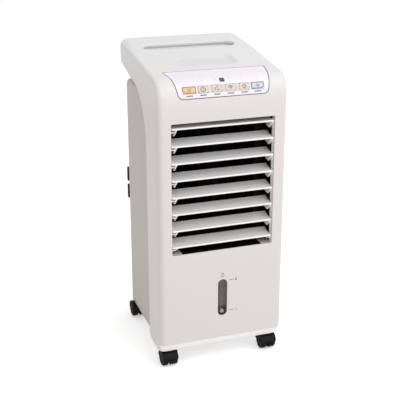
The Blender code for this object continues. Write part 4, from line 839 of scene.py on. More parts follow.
def build_hood(sizes, colours):
    """Front, shoulder, top, visor and side bands as one bent shell with its openings and underside."""
    sheet = hood_sheet(sizes)
    holes = hood_holes(sheet, sizes)
    pitch = 0.012
    kick = np.linspace(0, front_length(sheet, HOOD_LOW.z + 2 * sizes.kick_rise), 25)
    bends = sheet.length[sheet.length > front_length(sheet, sizes.opening_top + 0.02)]
    u = grid_lines(0, sheet.length[-1], pitch, kick, bends, *[hole.marks(1) for hole in holes])
    flat = HOOD_HIGH.x - sizes.back_edge - 0.0005
    x = grid_lines(-flat, flat, pitch, *[hole.marks(0) for hole in holes])
    crown = shoulder_length(sheet, sizes, pi / 2 - sizes.slope)
    widen_from, widen_to = top_length(sheet, [0.20, 0.29])
    stops = [shoulder_length(sheet, sizes, 0.0), crown, widen_from, widen_to]
    edge = np.interp(u, stops, [sizes.front_edge, sizes.top_edge, sizes.top_edge, sizes.back_edge])
    grid, first = shell_grid(sheet, u, x, HOOD_HIGH.x, edge, hood_rear_edge(sheet, sizes, u))
    skin = Skin()
    lay_shell(skin, sheet, u, x, grid, first, holes)
    close_underside(skin, grid, first)
    finishes = [cabinet_white_and_painted_light(sizes, colours), moulded("tray_white", toned(colours.shell, 0.92), rough=0.42)]
    nodes = ["front_hood"]
    finish_piece("hood_shell", skin, "cabinet", finishes, nodes, crease=30.0, wall=sizes.wall)


def build_handle_cup(sizes, colours):
    """Cup under the hand slot: the slot's outline carried down a drafted wall and round into a floor."""
    sheet = hood_sheet(sizes)
    shape = slot_shape(sheet, sizes)
    depth, round_in, wall = 0.034, 0.006, 0.0016
    reach = np.asarray(shape.half) + 0.01
    ring = circle((0, 0), 1.0, sides=96) * reach + np.asarray(shape.centre)
    ring[:, 0] = np.clip(1.4 * ring[:, 0], -reach[0], reach[0])
    turn = np.linspace(0, pi / 2, 6)
    profile = [(0.0008, -0.004), (0.0, -depth + round_in)]
    profile += zip(-round_in * (1 - np.cos(turn)), -depth + round_in * (1 - np.sin(turn)))
    rings = [sheet.place(shape.outline(ring, growth), lift) for growth, lift in profile]
    skin = Skin()
    skin.tube(np.stack(rings), start=False)
    white = moulded("cup_white", colours.inner, rough=0.42)
    nodes = ["handle_pocket"]
    finish_piece("handle_cup", skin, "cabinet", [white], nodes, crease=40.0, wall=wall)


def build_housing(sizes, colours):
    """Rear housing: a bent shell over the top and down the back, with the intake and tank ports."""
    front, back, foot, top = HOUSING_LOW.y, HOUSING_HIGH.y, HOUSING_LOW.z, HOUSING_HIGH.z
    bend, edge, flat, pitch = 0.014, 0.010, 0.1225, 0.014
    sheet = Sheet(rounded([(front, top), (back, top), (back, foot)], [0, bend, 0], steps=12, closed=False))
    total = sheet.length[-1]
    low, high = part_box("pad_frame")
    lap, port_half = 0.007, 0.1117
    middle, half = middle_and_half(total - (high.z - lap - foot), total - (low.z + lap - foot))
    port_edge = rim(radius=0.0008, depth=0.0022)
    intake = Hole((0.0, middle), (port_half, half), radius=0.004, profile=port_edge, margin=0.0035)
    low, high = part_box("water_tank")
    gap = 0.001
    door_top = total - (high.z + gap - foot)
    u = grid_lines(0, total, pitch, sheet.length, intake.marks(1), [door_top])
    x = grid_lines(-flat, flat, pitch, intake.marks(0), [low.x - gap, high.x + gap])
    side_drop = 0.03
    drop = np.interp(u, [0, total], [top - side_drop, foot])
    rear = np.stack([np.full(len(u), front), drop], axis=1)
    grid, first = shell_grid(sheet, u, x, HOUSING_HIGH.x, np.full(len(u), edge), rear)
    door = (u[:-1] >= door_top - SEAM)[:, None] & (np.abs(x[:-1] + x[1:]) / 2 < high.x + gap)
    skin = Skin()
    lay_shell(skin, sheet, u, x, grid, first, [intake], door)
    grey = housing_grey(colours)
    nodes = ["rear_housing"]
    finish_piece("housing_shell", skin, "cabinet", [grey], nodes, crease=30.0, wall=sizes.wall)


# Outlet


def blade_section(sizes):
    """Side view of a blade from its lip: the top rises with the square of the depth, the front rolls down."""
    share = np.linspace(0, 1, 15)
    thick = sizes.blade_thick
    over = np.stack([sizes.blade_chord * share, sizes.blade_lip + sizes.blade_rise * share ** 2], axis=1)
    under = over - (0.0, thick)
    lip = [(1.7 * thick, sizes.blade_lip - thick), (thick, 0.0), (0.0, 0.0)]
    corners = np.concatenate([over[1:], under[:2:-1], lip, over[:1]])
    radii = np.full(len(corners), HAIR)
    radii[len(over) - 2:len(over)] = 0.45 * thick
    radii[-4:] = (0.0008, 0.45 * thick, 0.45 * thick, 0.95 * thick)
    return rounded(corners, radii, steps=6)


def ear_section(sizes, drop, tail):
    """Side view of a blade's end plate: from the lip it slants back and down by drop, then runs to a tail."""
    rear = sizes.blade_chord - sizes.blade_thick
    brow = sizes.blade_lip + sizes.blade_rise - sizes.blade_thick
    inset, nip = 0.0006, 0.0004
    corners = [
        (inset, sizes.blade_lip - inset),
        (nip, -inset),
        (sizes.ear_back, -drop),
        (rear, -tail),
        (rear, brow),
        (0.4 * sizes.blade_chord, sizes.blade_lip - nip),
    ]
    return rounded(corners, [0.001, 0.001, 0.0045, 0.003, 0.0008, 0.001], steps=8)


def crank_arm(sizes, crank):
    """Side view of the arm from a blade's rear edge to the eye of its link crank."""
    thick = sizes.blade_thick
    rear = np.asarray((sizes.blade_chord, sizes.blade_lip + sizes.blade_rise))
    eye = 0.0016
    corners = [
        rear - (4 * thick, thick),
        crank + (-eye, -eye),
        crank + (eye, -eye),
        crank + (eye, eye),
        rear - (thick / 2, thick / 2),
    ]
    return rounded(corners, 0.0006, steps=4)


def blade_white_with_painted_shade(colours):
    """Blade white: brightest along the lip, with painted shade that greys it behind the lip, most on the
    upper blades, and a fine grain.
    """
    paint = Paint("blade_white", Specular_IOR_Level=0.5)
    spot = paint.place()
    painted_shade_depth = 0.040
    depth = paint.axis(spot, Y).ramp(HOOD_LOW.y, HOOD_LOW.y + painted_shade_depth)
    high = paint.axis(spot, Z).ramp(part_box(LOUVERS[-1])[0].z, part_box(LOUVERS[0])[1].z)
    cloud = paint.noise(18.0, detail=3.0)
    fine = paint.noise(1100.0, detail=2.0)
    # Painted shade: each blade greys towards its rear, where the blade above shades it, most on the upper
    # blades
    base = paint.mix(depth * (0.2 + 0.8 * high), colours.blade, toned(colours.blade, 0.78))
    paint.feed("Base Color", paint.mix(0.06 * cloud, base, toned(colours.blade, 0.6)))
    paint.feed("Roughness", 0.30 + 0.06 * fine + 0.05 * cloud)
    paint.bump(fine, depth=0.00002)
    return paint.material


def build_blades(sizes, colours):
    """Outlet blades: a bowed section with a rolled lip carried across, end plates, pins and a link crank."""
    white = blade_white_with_painted_shade(colours)
    half = sizes.opening_half - 0.0015
    pin_end = sizes.opening_half + 0.0032
    wing = blade_section(sizes)
    ears = {name: ear_section(sizes, sizes.ear_drop, 0.9 * sizes.ear_drop) for name in LOUVERS}
    ears[LOUVERS[-1]] = ear_section(sizes, 0.75 * sizes.ear_drop, 0.4 * sizes.ear_drop)
    lip_from_pivot = (-0.0088, 0.0062)
    crank = np.asarray((0.0468, -0.0012))
    arm = crank_arm(sizes, crank)
    arm_at, arm_thick = -half + 0.0028, 0.0025
    pin, crank_pin, bite = 0.0016, 0.0010, 0.001
    for name in LOUVERS:
        pivot = np.asarray(JOINTS[name + "_tilt"]["pos_m"][1:])
        lip = pivot + lip_from_pivot
        skin = Skin()
        prism(skin, X, wing + lip, -half, half, edge=0.0004)
        for side, outer in ((-1, half - sizes.ear_inset), (1, half)):
            near, far = sorted((side * (outer - sizes.ear_thick), side * outer))
            prism(skin, X, ears[name] + lip, near, far, edge=0.0005)
            near, far = sorted((side * (outer - bite), side * pin_end))
            prism(skin, X, circle(pivot, pin, sides=20), near, far, edge=0.0003)
        prism(skin, X, arm + lip, arm_at, arm_at + arm_thick, edge=0.0003)
        prism(skin, X, circle(crank + lip, crank_pin, sides=12), -half, arm_at + bite, edge=0.0002)
        finish_piece("blade_" + name, skin, name, [white], [name], crease=40.0)


def build_cheeks(sizes, colours):
    """White cheeks at the outlet's sides, paler as painted light, and ledges on its floor, greyed as painted
    shade; each a rectangle carried along an axis.
    """
    # Painted light: the cheeks take the blades' paler white, brighter than their shade would leave them
    white = moulded("cheek_white_painted_light", colours.blade, rough=0.45)
    # Painted shade: the white ledges are greyed to stand for the shade on the outlet's floor
    grey = moulded("ledge_painted_shade", toned(colours.blade, 0.5), rough=0.5)
    half, foot = sizes.opening_half, sizes.opening_foot
    front = HOOD_LOW.y + 0.0035
    inner, outer = half - 0.0004, half + 0.0003
    ledge_depth, ledge_under, ledge_over = 0.045, 0.0003, 0.0005
    soft = 0.0001
    skin = Skin()
    for side in (-1, 1):
        cheek = rectangle(side * inner, side * outer, front, front + sizes.cheek_depth)
        prism(skin, Z, cheek, foot, sizes.opening_top, soft)
        ledge = rectangle(side * sizes.ledge, side * half, front, front + ledge_depth)
        prism(skin, Z, ledge, foot - ledge_under, foot + ledge_over, soft, tint=1)
    finish_piece("outlet_cheeks", skin, "cabinet", [white, grey])


# Printed marks


def stroke(skin, sheet, spots, width, lift, tint, closed=False):
    """A flat printed line: spots on a sheet moved half the width to each side along their normals."""
    spots = np.asarray(spots, float)
    if closed:
        along = np.roll(spots, -1, axis=0) - np.roll(spots, 1, axis=0)
    else:
        along = np.gradient(spots, axis=0)
    along /= np.linalg.norm(along, axis=1, keepdims=True)
    aside = np.stack([-along[:, 1], along[:, 0]], axis=1) * width / 2
    rails = np.stack([spots + aside, spots - aside])
    numbers = skin.add(sheet.place(rails, lift))
    skin.quads(numbers[::-1], tint, closed=closed)


def dot(skin, sheet, centre, radius, lift, tint):
    """A flat printed dot."""
    skin.lid(skin.add(sheet.place(circle(centre, radius, sides=20), lift)), tint)


def arc_spots(centre, radius, start, end, count=14):
    """Spots along an arc, angles in degrees."""
    turn = np.radians(np.linspace(start, end, count))
    return np.stack([centre[0] + radius * np.cos(turn), centre[1] + radius * np.sin(turn)], axis=1)


def digit(skin, sheet, centre, height, lit, width, lift, tint):
    """A seven-bar digit; lit names its bars from a (top) clockwise to f, with g in the middle."""
    across, up = height * 0.27, height / 2
    shorten = 0.86
    ends = {
        "a": ((-across, up), (across, up)),
        "b": ((across, up), (across, 0)),
        "c": ((across, 0), (across, -up)),
        "d": ((across, -up), (-across, -up)),
        "e": ((-across, -up), (-across, 0)),
        "f": ((-across, 0), (-across, up)),
        "g": ((-across, 0), (across, 0)),
    }
    for bar in lit:
        line = np.asarray(ends[bar], float)
        line = line.mean(axis=0) + (line - line.mean(axis=0)) * shorten
        stroke(skin, sheet, line + centre, width, lift, tint)


# Control panel and keys


def film_finish(sheet, sizes, colours):
    """Printed film: pale lavender, a little lighter upwards, with a strip behind the keys."""
    middle = panel_shape(sheet, sizes, gap=0.0).centre[1]
    paint = Paint("panel_film", Coat_Weight=0.15, Coat_Roughness=0.2)
    spot = paint.node("ShaderNodeUVMap", {"uv_map": "sheet"}, {})
    x = paint.axis(spot, X)
    u = paint.axis(spot, Y)
    spare, blur, strip_half = 0.0012, 0.0008, 0.0585
    low = shoulder_length(sheet, sizes, sizes.key_low) - middle
    high = shoulder_length(sheet, sizes, sizes.key_high) - middle
    band = (u - low + spare).ramp(0, blur) * (high + spare - u).ramp(0, blur)
    band = band * (strip_half - abs(x)).ramp(0, blur)
    cloud = paint.noise(40.0, detail=2.0)
    base = paint.mix(u.ramp(-0.03, 0.045), colours.film, toned(colours.film, 1.03))
    shade = (0.5, 0.48, 0.55)
    base = paint.mix(0.05 * cloud, base, shade)
    base = paint.mix(band, base, colours.strip)
    paint.feed("Base Color", base)
    paint.feed("Roughness", 0.30 + 0.10 * paint.noise(500.0, detail=2.0))
    return paint.material


def border(shape, inset):
    """Even spots round a shape's rounded, tapered outline, drawn in a little."""
    half = np.asarray(shape.half) - inset
    foot, head = shape.foot_radius - inset, shape.radius - inset
    ring = rounded(np.asarray(CORNERS) * half, [foot, foot, head, head])
    ring[:, 0] *= 1 + shape.taper * ring[:, 1]
    return even(ring, step=0.002) + np.asarray(shape.centre)


def even(ring, step):
    """Spots about a step apart round a closed ring."""
    loop = np.concatenate([ring, ring[:1]])
    run = np.concatenate([[0.0], np.cumsum(np.linalg.norm(np.diff(loop, axis=0), axis=1))])
    at = np.arange(0, run[-1], step)
    return np.stack([np.interp(at, run, loop[:, part]) for part in (0, 1)], axis=1)


def sheet_map(thing, centre_u, sheet):
    """Gives a piece a UV map in metres: across in x, along the sheet's path in u from a centre."""
    mesh = thing.data
    points = np.zeros(len(mesh.vertices) * 3)
    mesh.vertices.foreach_get("co", points)
    points = points.reshape(-1, 3)
    gap = np.linalg.norm(points[:, None, 1:] - sheet.path[None], axis=-1)
    near = np.clip(gap.argmin(axis=1), 1, len(sheet.path) - 2)
    heading = np.stack([sheet.normal[near, 1], -sheet.normal[near, 0]], axis=1)
    along = sheet.length[near] + ((points[:, 1:] - sheet.path[near]) * heading).sum(axis=1)
    corner = np.zeros(len(mesh.loops), np.int32)
    mesh.loops.foreach_get("vertex_index", corner)
    flat = np.stack([points[corner, 0], along[corner] - centre_u], axis=1)
    mesh.uv_layers.new(name="sheet").uv.foreach_set("vector", flat.ravel())


def key_shape(sheet, sizes, name):
    """A key's outline on the shoulder, from its node's width."""
    low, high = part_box("key_" + name)
    x, half_x = middle_and_half(low.x, high.x)
    ends = [shoulder_length(sheet, sizes, turn) for turn in (sizes.key_low, sizes.key_high)]
    u, half_u = middle_and_half(*ends)
    radius = 0.0035 if name in ENDS else 0.0030
    return Hole((x, u), (half_x, half_u), radius=radius, profile=[], margin=0.0012)


def film_lift(sizes):
    """Lift of the film's face off the shoulder, below zero because it lies in its recess."""
    return sizes.film - sizes.panel_recess


def build_film(sizes, colours):
    """Printed film on the shoulder: a thin plate with a hole for each key."""
    sheet = hood_sheet(sizes)
    shape = panel_shape(sheet, sizes, gap=0.0)
    holes = []
    for name in KEYS:
        key = key_shape(sheet, sizes, name)
        half = (key.half[0] + FIT, key.half[1] + FIT)
        holes.append(key._replace(half=half, profile=rim(radius=0.0002, depth=sizes.film, steps=2)))
    skin = Skin()
    lift = film_lift(sizes)
    plate(skin, sheet, shape, thick=sizes.film, edge=0.0003, pitch=0.004, lift=lift, holes=holes)
    finishes = [film_finish(sheet, sizes, colours)]
    nodes = ["control_overlay"]
    film = finish_piece("panel_film", skin, "cabinet", finishes, nodes, crease=35.0)
    sheet_map(film, shape.centre[1], sheet)


def build_panel_marks(sizes, colours):
    """Printed dots above the keys and dashes under them, and a dark line round the film that paints the
    shadow in the gap of its recess.
    """
    sheet = hood_sheet(sizes)
    # One ink for the printed dashes and for the painted shadow line round the film
    ink = moulded("panel_ink", colours.print_ink, rough=0.45)
    faint = moulded("panel_ink_faint", toned(colours.film, 0.55), rough=0.45)
    lift = film_lift(sizes) + 0.00006
    rows, dot_radius = (0.0050, 0.0130, 0.0215), 0.0011
    dash_drop, dash_pitch, dash_half, dash_width = 0.0044, 0.0036, 0.0015, 0.0021
    shadow_line_inset, line_width = 0.0009, 0.0012
    head = shoulder_length(sheet, sizes, sizes.key_high)
    under = shoulder_length(sheet, sizes, sizes.key_low) - dash_drop
    skin = Skin()
    for name in KEYS:
        x = key_shape(sheet, sizes, name).centre[0]
        for row in rows[:1] if name in ENDS else rows:
            dot(skin, sheet, (x, head + row), dot_radius, lift, tint=1)
        for step in (-1.5, -0.5, 0.5, 1.5):
            at = x + step * dash_pitch
            stroke(skin, sheet, [(at - dash_half, under), (at + dash_half, under)], dash_width, lift, tint=0)
    # Painted shadow: a dark line round the film stands for the shade in the gap of its recess
    outline = border(panel_shape(sheet, sizes, gap=0.0), shadow_line_inset)
    stroke(skin, sheet, outline, line_width, lift, tint=0, closed=True)
    finish_piece("panel_marks", skin, "cabinet", [ink, faint])


def build_display(sizes, colours):
    """Dark display glass with two seven-bar digits."""
    sheet = hood_sheet(sizes)
    base = film_lift(sizes)
    low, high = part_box("display_module")
    at = shoulder_length(sheet, sizes, sizes.display_at)
    half = (high.x - low.x) / 2
    shape = Hole((0.0, at), (half, half), radius=0.0012, profile=[])
    skin = Skin()
    plate(skin, sheet, shape, thick=0.004, edge=0.0004, pitch=0.002, lift=base + 0.0004, crown=0.0001)
    height, bar, lift = half * 1.1, 0.0007, base + 0.00062
    for step, bars in ((-1, "abged"), (1, "fgbc")):
        digit(skin, sheet, np.asarray((step * half * 0.42, at)), height, bars, bar, lift, tint=1)
    glass = moulded("display_glass", colours.black, rough=0.14, coat=0.6)
    lit = Paint("display_digits", Roughness=0.5, Emission_Strength=0.1)
    glow = lit.mix(lit.noise(300.0), toned(colours.lit, 0.9), colours.lit)
    lit.feed("Base Color", glow)
    lit.feed("Emission Color", glow)
    finish_piece("display_face", skin, "cabinet", [glass, lit.material], ["display_module"])


def key_icon(skin, sheet, name, centre, lift):
    """A plain symbol on a key: waves, star, clock, fan, sweep or sun."""
    centre = np.asarray(centre)
    x, u = centre
    size, width = 0.0050, 0.0012

    def draw(line, closed=False):
        """One line of the symbol."""
        stroke(skin, sheet, line, width, lift, tint=1, closed=closed)

    if name == "heat":
        share = np.linspace(-1, 1, 13)
        apart, sway = 0.0028, 0.0007
        for step in (-1, 0, 1):
            wave = x + step * apart + sway * np.sin(share * pi)
            draw(np.stack([wave, u + share * size * 0.75], axis=1))
    elif name == "cool":
        for turn in (30, 90, 150):
            end = np.asarray((cos(radians(turn)), sin(radians(turn)))) * size * 0.85
            draw([centre - end, centre + end])
    elif name == "timer":
        draw(arc_spots(centre, size, start=0, end=345, count=24), closed=True)
        draw([(x, u + size * 0.62), (x, u)])
        draw([(x, u), (x + size * 0.5, u)])
    elif name == "speed":
        for turn in (90, 210, 330):
            hub = arc_spots(centre, 0.5 * size, start=turn, end=turn + 1, count=2)[0]
            draw(arc_spots(hub, 0.5 * size, start=turn - 150, end=turn + 30))
    elif name == "swing":
        for share in (0.7, 1.2, 1.7):
            draw(arc_spots((x, u - size), share * size, start=50, end=130))
    elif name == "mode":
        draw(arc_spots(centre, 0.6 * size, start=0, end=345, count=24), closed=True)
        for spot in circle(centre, 1.05 * size, sides=8):
            dot(skin, sheet, spot, width / 2, lift, tint=1)


def key_looks(colours):
    """The plastic and the ink of each key slot."""
    tones = {
        "key_beige": (colours.strip, "key_ink", colours.print_ink),
        "key_orange": (colours.orange, "key_orange_line", colours.orange_line),
        "key_blue": (colours.blue, "key_blue_line", colours.blue_line),
    }
    looks = {}
    for slot, (tone, ink, ink_tone) in tones.items():
        plastic = moulded(slot, tone, rough=0.38, mottle=0.05, coat=0.2)
        looks[slot] = [plastic, moulded(ink, ink_tone, rough=0.45)]
    return looks


def end_outline(shape, side):
    """Line printed round an end key, with its lower outer corner cut off on a slant."""
    inset = 0.0016
    across, up = shape.half[0] - inset, shape.half[1] - inset
    slant = [(across, up), (-across, up), (-across, -up), (across - up, -up), (across, -0.3 * up)]
    ring = rounded(np.asarray(slant) * (side, 1), 0.0018, steps=6)
    return even(counter_clockwise(ring), step=0.0006) + np.asarray(shape.centre)


def build_keys(sizes, colours):
    """Push keys on the shoulder: crowned plates with rounded corners and a printed symbol."""
    sheet = hood_sheet(sizes)
    looks = key_looks(colours)
    proud, line_width = 0.0004, 0.0013
    line_lift, icon_lift = proud + 0.00022, proud + 0.00026
    for name in KEYS:
        shape = key_shape(sheet, sizes, name)
        skin = Skin()
        plate(skin, sheet, shape, thick=0.0042, edge=0.0006, pitch=0.002, lift=proud, crown=0.0002)
        key_icon(skin, sheet, name, shape.centre, icon_lift)
        if name in ENDS:
            stroke(skin, sheet, end_outline(shape, ENDS[name]), line_width, line_lift, tint=1, closed=True)
        slot = END_SLOTS.get(name, "key_beige")
        finish_piece("key_cap_" + name, skin, "key_" + name, looks[slot], ["key_" + name])


# Level gauge


def smoke_and_painted_highlight(colours):
    """Smoked clear plastic: near black at its foot, smoky and denser above, with a pale upright streak that
    is a painted highlight.
    """
    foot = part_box("gauge_window")[0].z
    paint = Paint("smoked_clear", Coat_Weight=0.3, Coat_Roughness=0.08)
    spot = paint.place()
    level = paint.axis(spot, Z).ramp(foot + 0.014, foot + 0.030)
    across = abs(paint.axis(spot, X) + 0.002)
    # Painted highlight: a pale upright streak stands for a reflection on the window
    painted_highlight = (1 - across.ramp(0.001, 0.006)) * level
    base = paint.mix(level, toned(colours.smoke, 0.10), colours.smoke)
    base = paint.mix(0.45 * painted_highlight, base, toned(colours.smoke, 2.4))
    paint.feed("Base Color", paint.mix(0.10 * paint.noise(160.0), base, toned(colours.smoke, 3.0)))
    paint.feed("Roughness", 0.16 + 0.10 * paint.noise(420.0))
    paint.feed("Alpha", 0.22 + 0.18 * level)
    return paint.material


def build_window(sizes, colours):
    """Smoked level window: a crowned plate with round ends."""
    sheet = hood_sheet(sizes)
    shape = window_shape(sheet, gap=0.0)
    skin = Skin()
    plate(skin, sheet, shape, thick=0.0024, edge=0.0006, pitch=0.0035, lift=-0.0004, crown=0.0003)
    smoke = smoke_and_painted_highlight(colours)
    finish_piece("level_window", skin, "cabinet", [smoke], ["gauge_window"])


def build_float(colours):
    """Level float: a disc with cut-off rims, turned about an axis from front to back."""
    low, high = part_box("level_float")
    radius = (high.x - low.x) / 2
    core, cut, face = 0.0004, 0.001, radius * 0.86
    corners = [
        (low.y, core),
        (low.y, face),
        (low.y + cut, radius),
        (high.y - cut, radius),
        (high.y, face),
        (high.y, core),
    ]
    profile = rounded(corners, [0, 0.0004, 0.0006, 0.0006, 0.0004, 0], steps=4, closed=False)
    skin = Skin()
    lathe(skin, Y, profile, ((low.z + high.z) / 2, (low.x + high.x) / 2), sides=40)
    white = moulded("float_white", colours.float_bead, rough=0.4)
    finish_piece("float_bead", skin, "level_float", [white], ["level_float"])


def build_gauge_marks(sizes, colours):
    """Printed beside the window: a tick and a number near each end, and a drop above."""
    sheet = hood_sheet(sizes)
    low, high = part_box("gauge_window")
    foot, head = front_length(sheet, [low.z, high.z])
    lift, line_width = 0.00008, 0.0010
    tick_from, tick_to, tick_width = 0.0160, 0.0270, 0.0011
    number_at, number_height = 0.0318, 0.0058
    drop_wide, drop_tall, drop_above = 0.0042, 0.0050, 0.0115
    skin = Skin()
    for share, bars in ((0.12, "bc"), (0.97, "acdefg")):
        u = foot + share * (head - foot)
        stroke(skin, sheet, [(tick_from, u), (tick_to, u)], tick_width, lift, tint=0)
        digit(skin, sheet, np.asarray((number_at, u)), number_height, bars, line_width, lift, tint=0)
    turn = np.linspace(0, 2 * pi, 40, endpoint=False)
    drop = np.stack([drop_wide * np.sin(turn) * np.sin(turn / 2) ** 1.5, drop_tall * np.cos(turn)], axis=1)
    drop = drop + (0.0, head + drop_above)
    stroke(skin, sheet, drop[::-1], line_width, lift, tint=0, closed=True)
    ink = moulded("gauge_ink", toned(colours.print_ink, 2.0), rough=0.5)
    finish_piece("gauge_marks", skin, "cabinet", [ink])


# Castors


def wheel_profile(outer, width, radius):
    """Section of a dished wheel from its inner side to its hub, as (place along the axle, radius)."""
    inner, dish, hub, core = outer - width, outer - 0.0016, outer - 0.0004, 0.0010
    corners = [
        (inner, core),
        (inner, radius),
        (outer, radius),
        (outer, radius * 0.74),
        (dish, radius * 0.66),
        (dish, radius * 0.34),
        (hub, radius * 0.28),
        (hub, core),
    ]
    return rounded(corners, [0, 0.0022, 0.0034, 0.0006, 0.0006, 0.0006, 0.0006, 0], steps=6, closed=False)


def build_wheels(sizes, node, finish):
    """A castor's twin wheels and the axle between them, turned about the axle."""
    low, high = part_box(node + "wheels")
    axle = ((low.y + high.y) / 2, (low.z + high.z) / 2)
    middle, outer = middle_and_half(low.x, high.x)
    width, axle_radius = 0.0135, 0.003
    profile = wheel_profile(outer, width, sizes.wheel)
    skin = Skin()
    lathe(skin, X, profile + (middle, 0), axle, sides=56)
    lathe(skin, X, (profile * (-1, 1) + (middle, 0))[::-1], axle, sides=56)
    axle_ends = [(middle - outer + width, axle_radius), (middle + outer - width, axle_radius)]
    lathe(skin, X, axle_ends, axle, sides=24)
    finish_piece(node + "pair", skin, node + "wheels", [finish], [node + "wheels"])


def build_castor_hood(sizes, node, finish):
    """A castor's arched hood over its wheels, the web between them and the stem above."""
    low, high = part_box(node + "wheels")
    axle = ((low.y + high.y) / 2, (low.z + high.z) / 2)
    middle = (low.x + high.x) / 2
    crown = sizes.wheel + sizes.fender_gap
    wall, web_half = 0.0016, 0.0014
    outside = arc_spots(axle, crown, start=-8, end=172, count=40)
    inside = arc_spots(axle, crown - wall, start=172, end=-8, count=40)
    web = arc_spots(axle, crown - wall / 2, start=-40, end=220, count=44)
    skin = Skin()
    prism(skin, X, np.concatenate([outside, inside]), low.x, high.x, edge=0.0007)
    prism(skin, X, web, middle - web_half, middle + web_half, edge=0.0003)
    stem_y = JOINTS[node + "swivel"]["pos_m"][1]
    stem_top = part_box(node + "body")[1].z
    neck = 2 * sizes.wheel + sizes.fender_gap
    thick, thin = 0.0046, 0.0032
    corners = [(axle[1] + 0.008, thick), (neck - 0.001, thick), (neck + 0.0006, thin), (stem_top, thin)]
    stem = rounded(corners, [0, 0.0006, 0.0006, 0], steps=4, closed=False)
    lathe(skin, Z, stem, (middle, stem_y), sides=32)
    finish_piece(node + "hood", skin, node + "body", [finish], [node + "body"])


def build_castors(sizes, colours):
    """Four castors, each a pair of wheels and the hood above them."""
    body = moulded("castor_body", colours.rubber, rough=0.42, mottle=0.15, grain=0.00006, shine=0.12)
    tread = toned(colours.rubber, 0.8)
    tyre = moulded("castor_tyre", tread, rough=0.55, mottle=0.2, grain=0.00008, shine=0.10)
    for name in CASTORS:
        node = f"castor_{name}_"
        build_wheels(sizes, node, tyre)
        build_castor_hood(sizes, node, body)


# Fittings on the back


def build_intake_cover(sizes, colours):
    """Intake cover: a flat rounded plate with a column of long slots."""
    white = cabinet_white_and_painted_light(sizes, colours)
    low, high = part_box("intake_grille")
    sheet = Sheet([(high.y, high.z), (high.y, low.z)])
    half = ((high.x - low.x) / 2, (high.z - low.z) / 2)
    rim_width, bar, count = 0.012, 0.008, 13
    pitch = (2 * half[1] - 2 * rim_width + bar) / count
    tall = (pitch - bar) / 2
    slot_half = (half[0] - rim_width, tall)
    edge = rim(radius=0.0014, depth=0.0038)
    slots = []
    for index in range(count):
        at = rim_width + index * pitch + tall
        slots.append(Hole((0.0, at), slot_half, radius=0.004, profile=edge, margin=0.0022))
    shape = Hole((0.0, half[1]), half, radius=0.008, profile=[])
    skin = Skin()
    plate(skin, sheet, shape, thick=high.y - low.y, edge=0.0016, pitch=0.02, holes=slots)
    finish_piece("intake_cover", skin, "cabinet", [white], ["intake_grille"], crease=40.0)


def dark_plastic(name, colours):
    """Dark grained plastic of the finger grips and the cord bush."""
    tone = toned(colours.rubber, 1.6)
    return moulded(name, tone, rough=0.5, mottle=0.15, grain=0.00006, shine=0.25)


def build_grip(side, finish):
    """A finger grip: a strip beside the intake cover, and two ribbed pads that pass the housing's side."""
    low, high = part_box("filter_grip_" + side)
    hand = 1 if low.x > 0 else -1
    near = low.x if hand > 0 else high.x
    far = hand * (HOUSING_HIGH.x + 0.0012)
    strip_end, inner = near + hand * 0.0052, near + hand * 0.0026
    rib_start, rib_half, ribs = inner + hand * 0.0006, 0.0008, 5
    gap = 0.008
    skin = Skin()
    strip = rounded(rectangle(near, strip_end, low.z, high.z), 0.0012, steps=4)
    prism(skin, Y, strip[:, ::-1], low.y, low.y + 0.004, edge=0.0006)
    tall = (high.z - low.z - gap) / 2
    for foot in (low.z, low.z + tall + gap):
        pad = rounded(rectangle(inner, far, foot, foot + tall), 0.0026, steps=6)
        prism(skin, Y, pad[:, ::-1], low.y + 0.001, high.y, edge=0.0016)
        for index in range(1, ribs + 1):
            z = foot + index * tall / (ribs + 1)
            rib = rounded(rectangle(rib_start, far, z - rib_half, z + rib_half), 0.0007, steps=3)
            prism(skin, Y, rib[:, ::-1], high.y - 0.002, high.y, edge=0.0005)
    finish_piece("finger_grip_" + side, skin, "cabinet", [finish], ["filter_grip_" + side])


def build_grips(colours):
    """The two finger grips beside the intake cover."""
    dark = dark_plastic("grip_dark", colours)
    for side in ("left", "right"):
        build_grip(side, dark)


def build_button(sizes, colours):
    """Turn button: a flat bar with round ends on a pin, and a finger rib along it."""
    white = cabinet_white_and_painted_light(sizes, colours)
    low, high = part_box("tank_latch")
    x, z = (low.x + high.x) / 2, (low.z + high.z) / 2
    radius = (high.z - low.z) / 2
    run = high.x - radius
    right = arc_spots((x + run, z), radius, start=-90, end=90)
    left = arc_spots((x - run, z), radius, start=90, end=270)
    bar = np.concatenate([right, left])
    bar_thick, pin, rib_half = 0.0035, 0.0025, 0.0009
    rib = rectangle(-rib_half, rib_half, -run, run) + (z, x)
    sunk, proud = high.y - 0.001, high.y + 0.0008
    skin = Skin()
    prism(skin, Y, bar[:, ::-1], high.y - bar_thick, high.y, edge=0.0012)
    prism(skin, Y, circle((z, x), pin, sides=24), low.y, sunk, edge=0.0004)
    prism(skin, Y, rib, sunk, proud, edge=0.0004)
    finish_piece("turn_button", skin, "tank_latch", [white], ["tank_latch"])


def build_bush(colours):
    """Cord bush: a flanged ring, turned about an axis from front to back."""
    dark = dark_plastic("bush_dark", colours)
    low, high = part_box("cord_gland")
    bore, neck, flange, brow = 0.0035, 0.005, 0.008, 0.0055
    flange_front, flange_back = high.y - 0.006, high.y - 0.0025
    corners = [
        (low.y, bore),
        (low.y, neck),
        (flange_front, neck),
        (flange_front, flange),
        (flange_back, flange),
        (high.y, brow),
        (high.y, bore),
    ]
    profile = rounded(corners, [0, 0.0006, 0.0004, 0.0008, 0.0016, 0.0006, 0], steps=5, closed=False)
    skin = Skin()
    numbers = skin.add(turned(Y, profile, ((low.z + high.z) / 2, (low.x + high.x) / 2), sides=48))
    skin.quads(np.concatenate([numbers, numbers[:1]]), closed=True)
    finish_piece("cord_bush", skin, "cabinet", [dark], ["cord_gland"])


# Wet pad and water tank


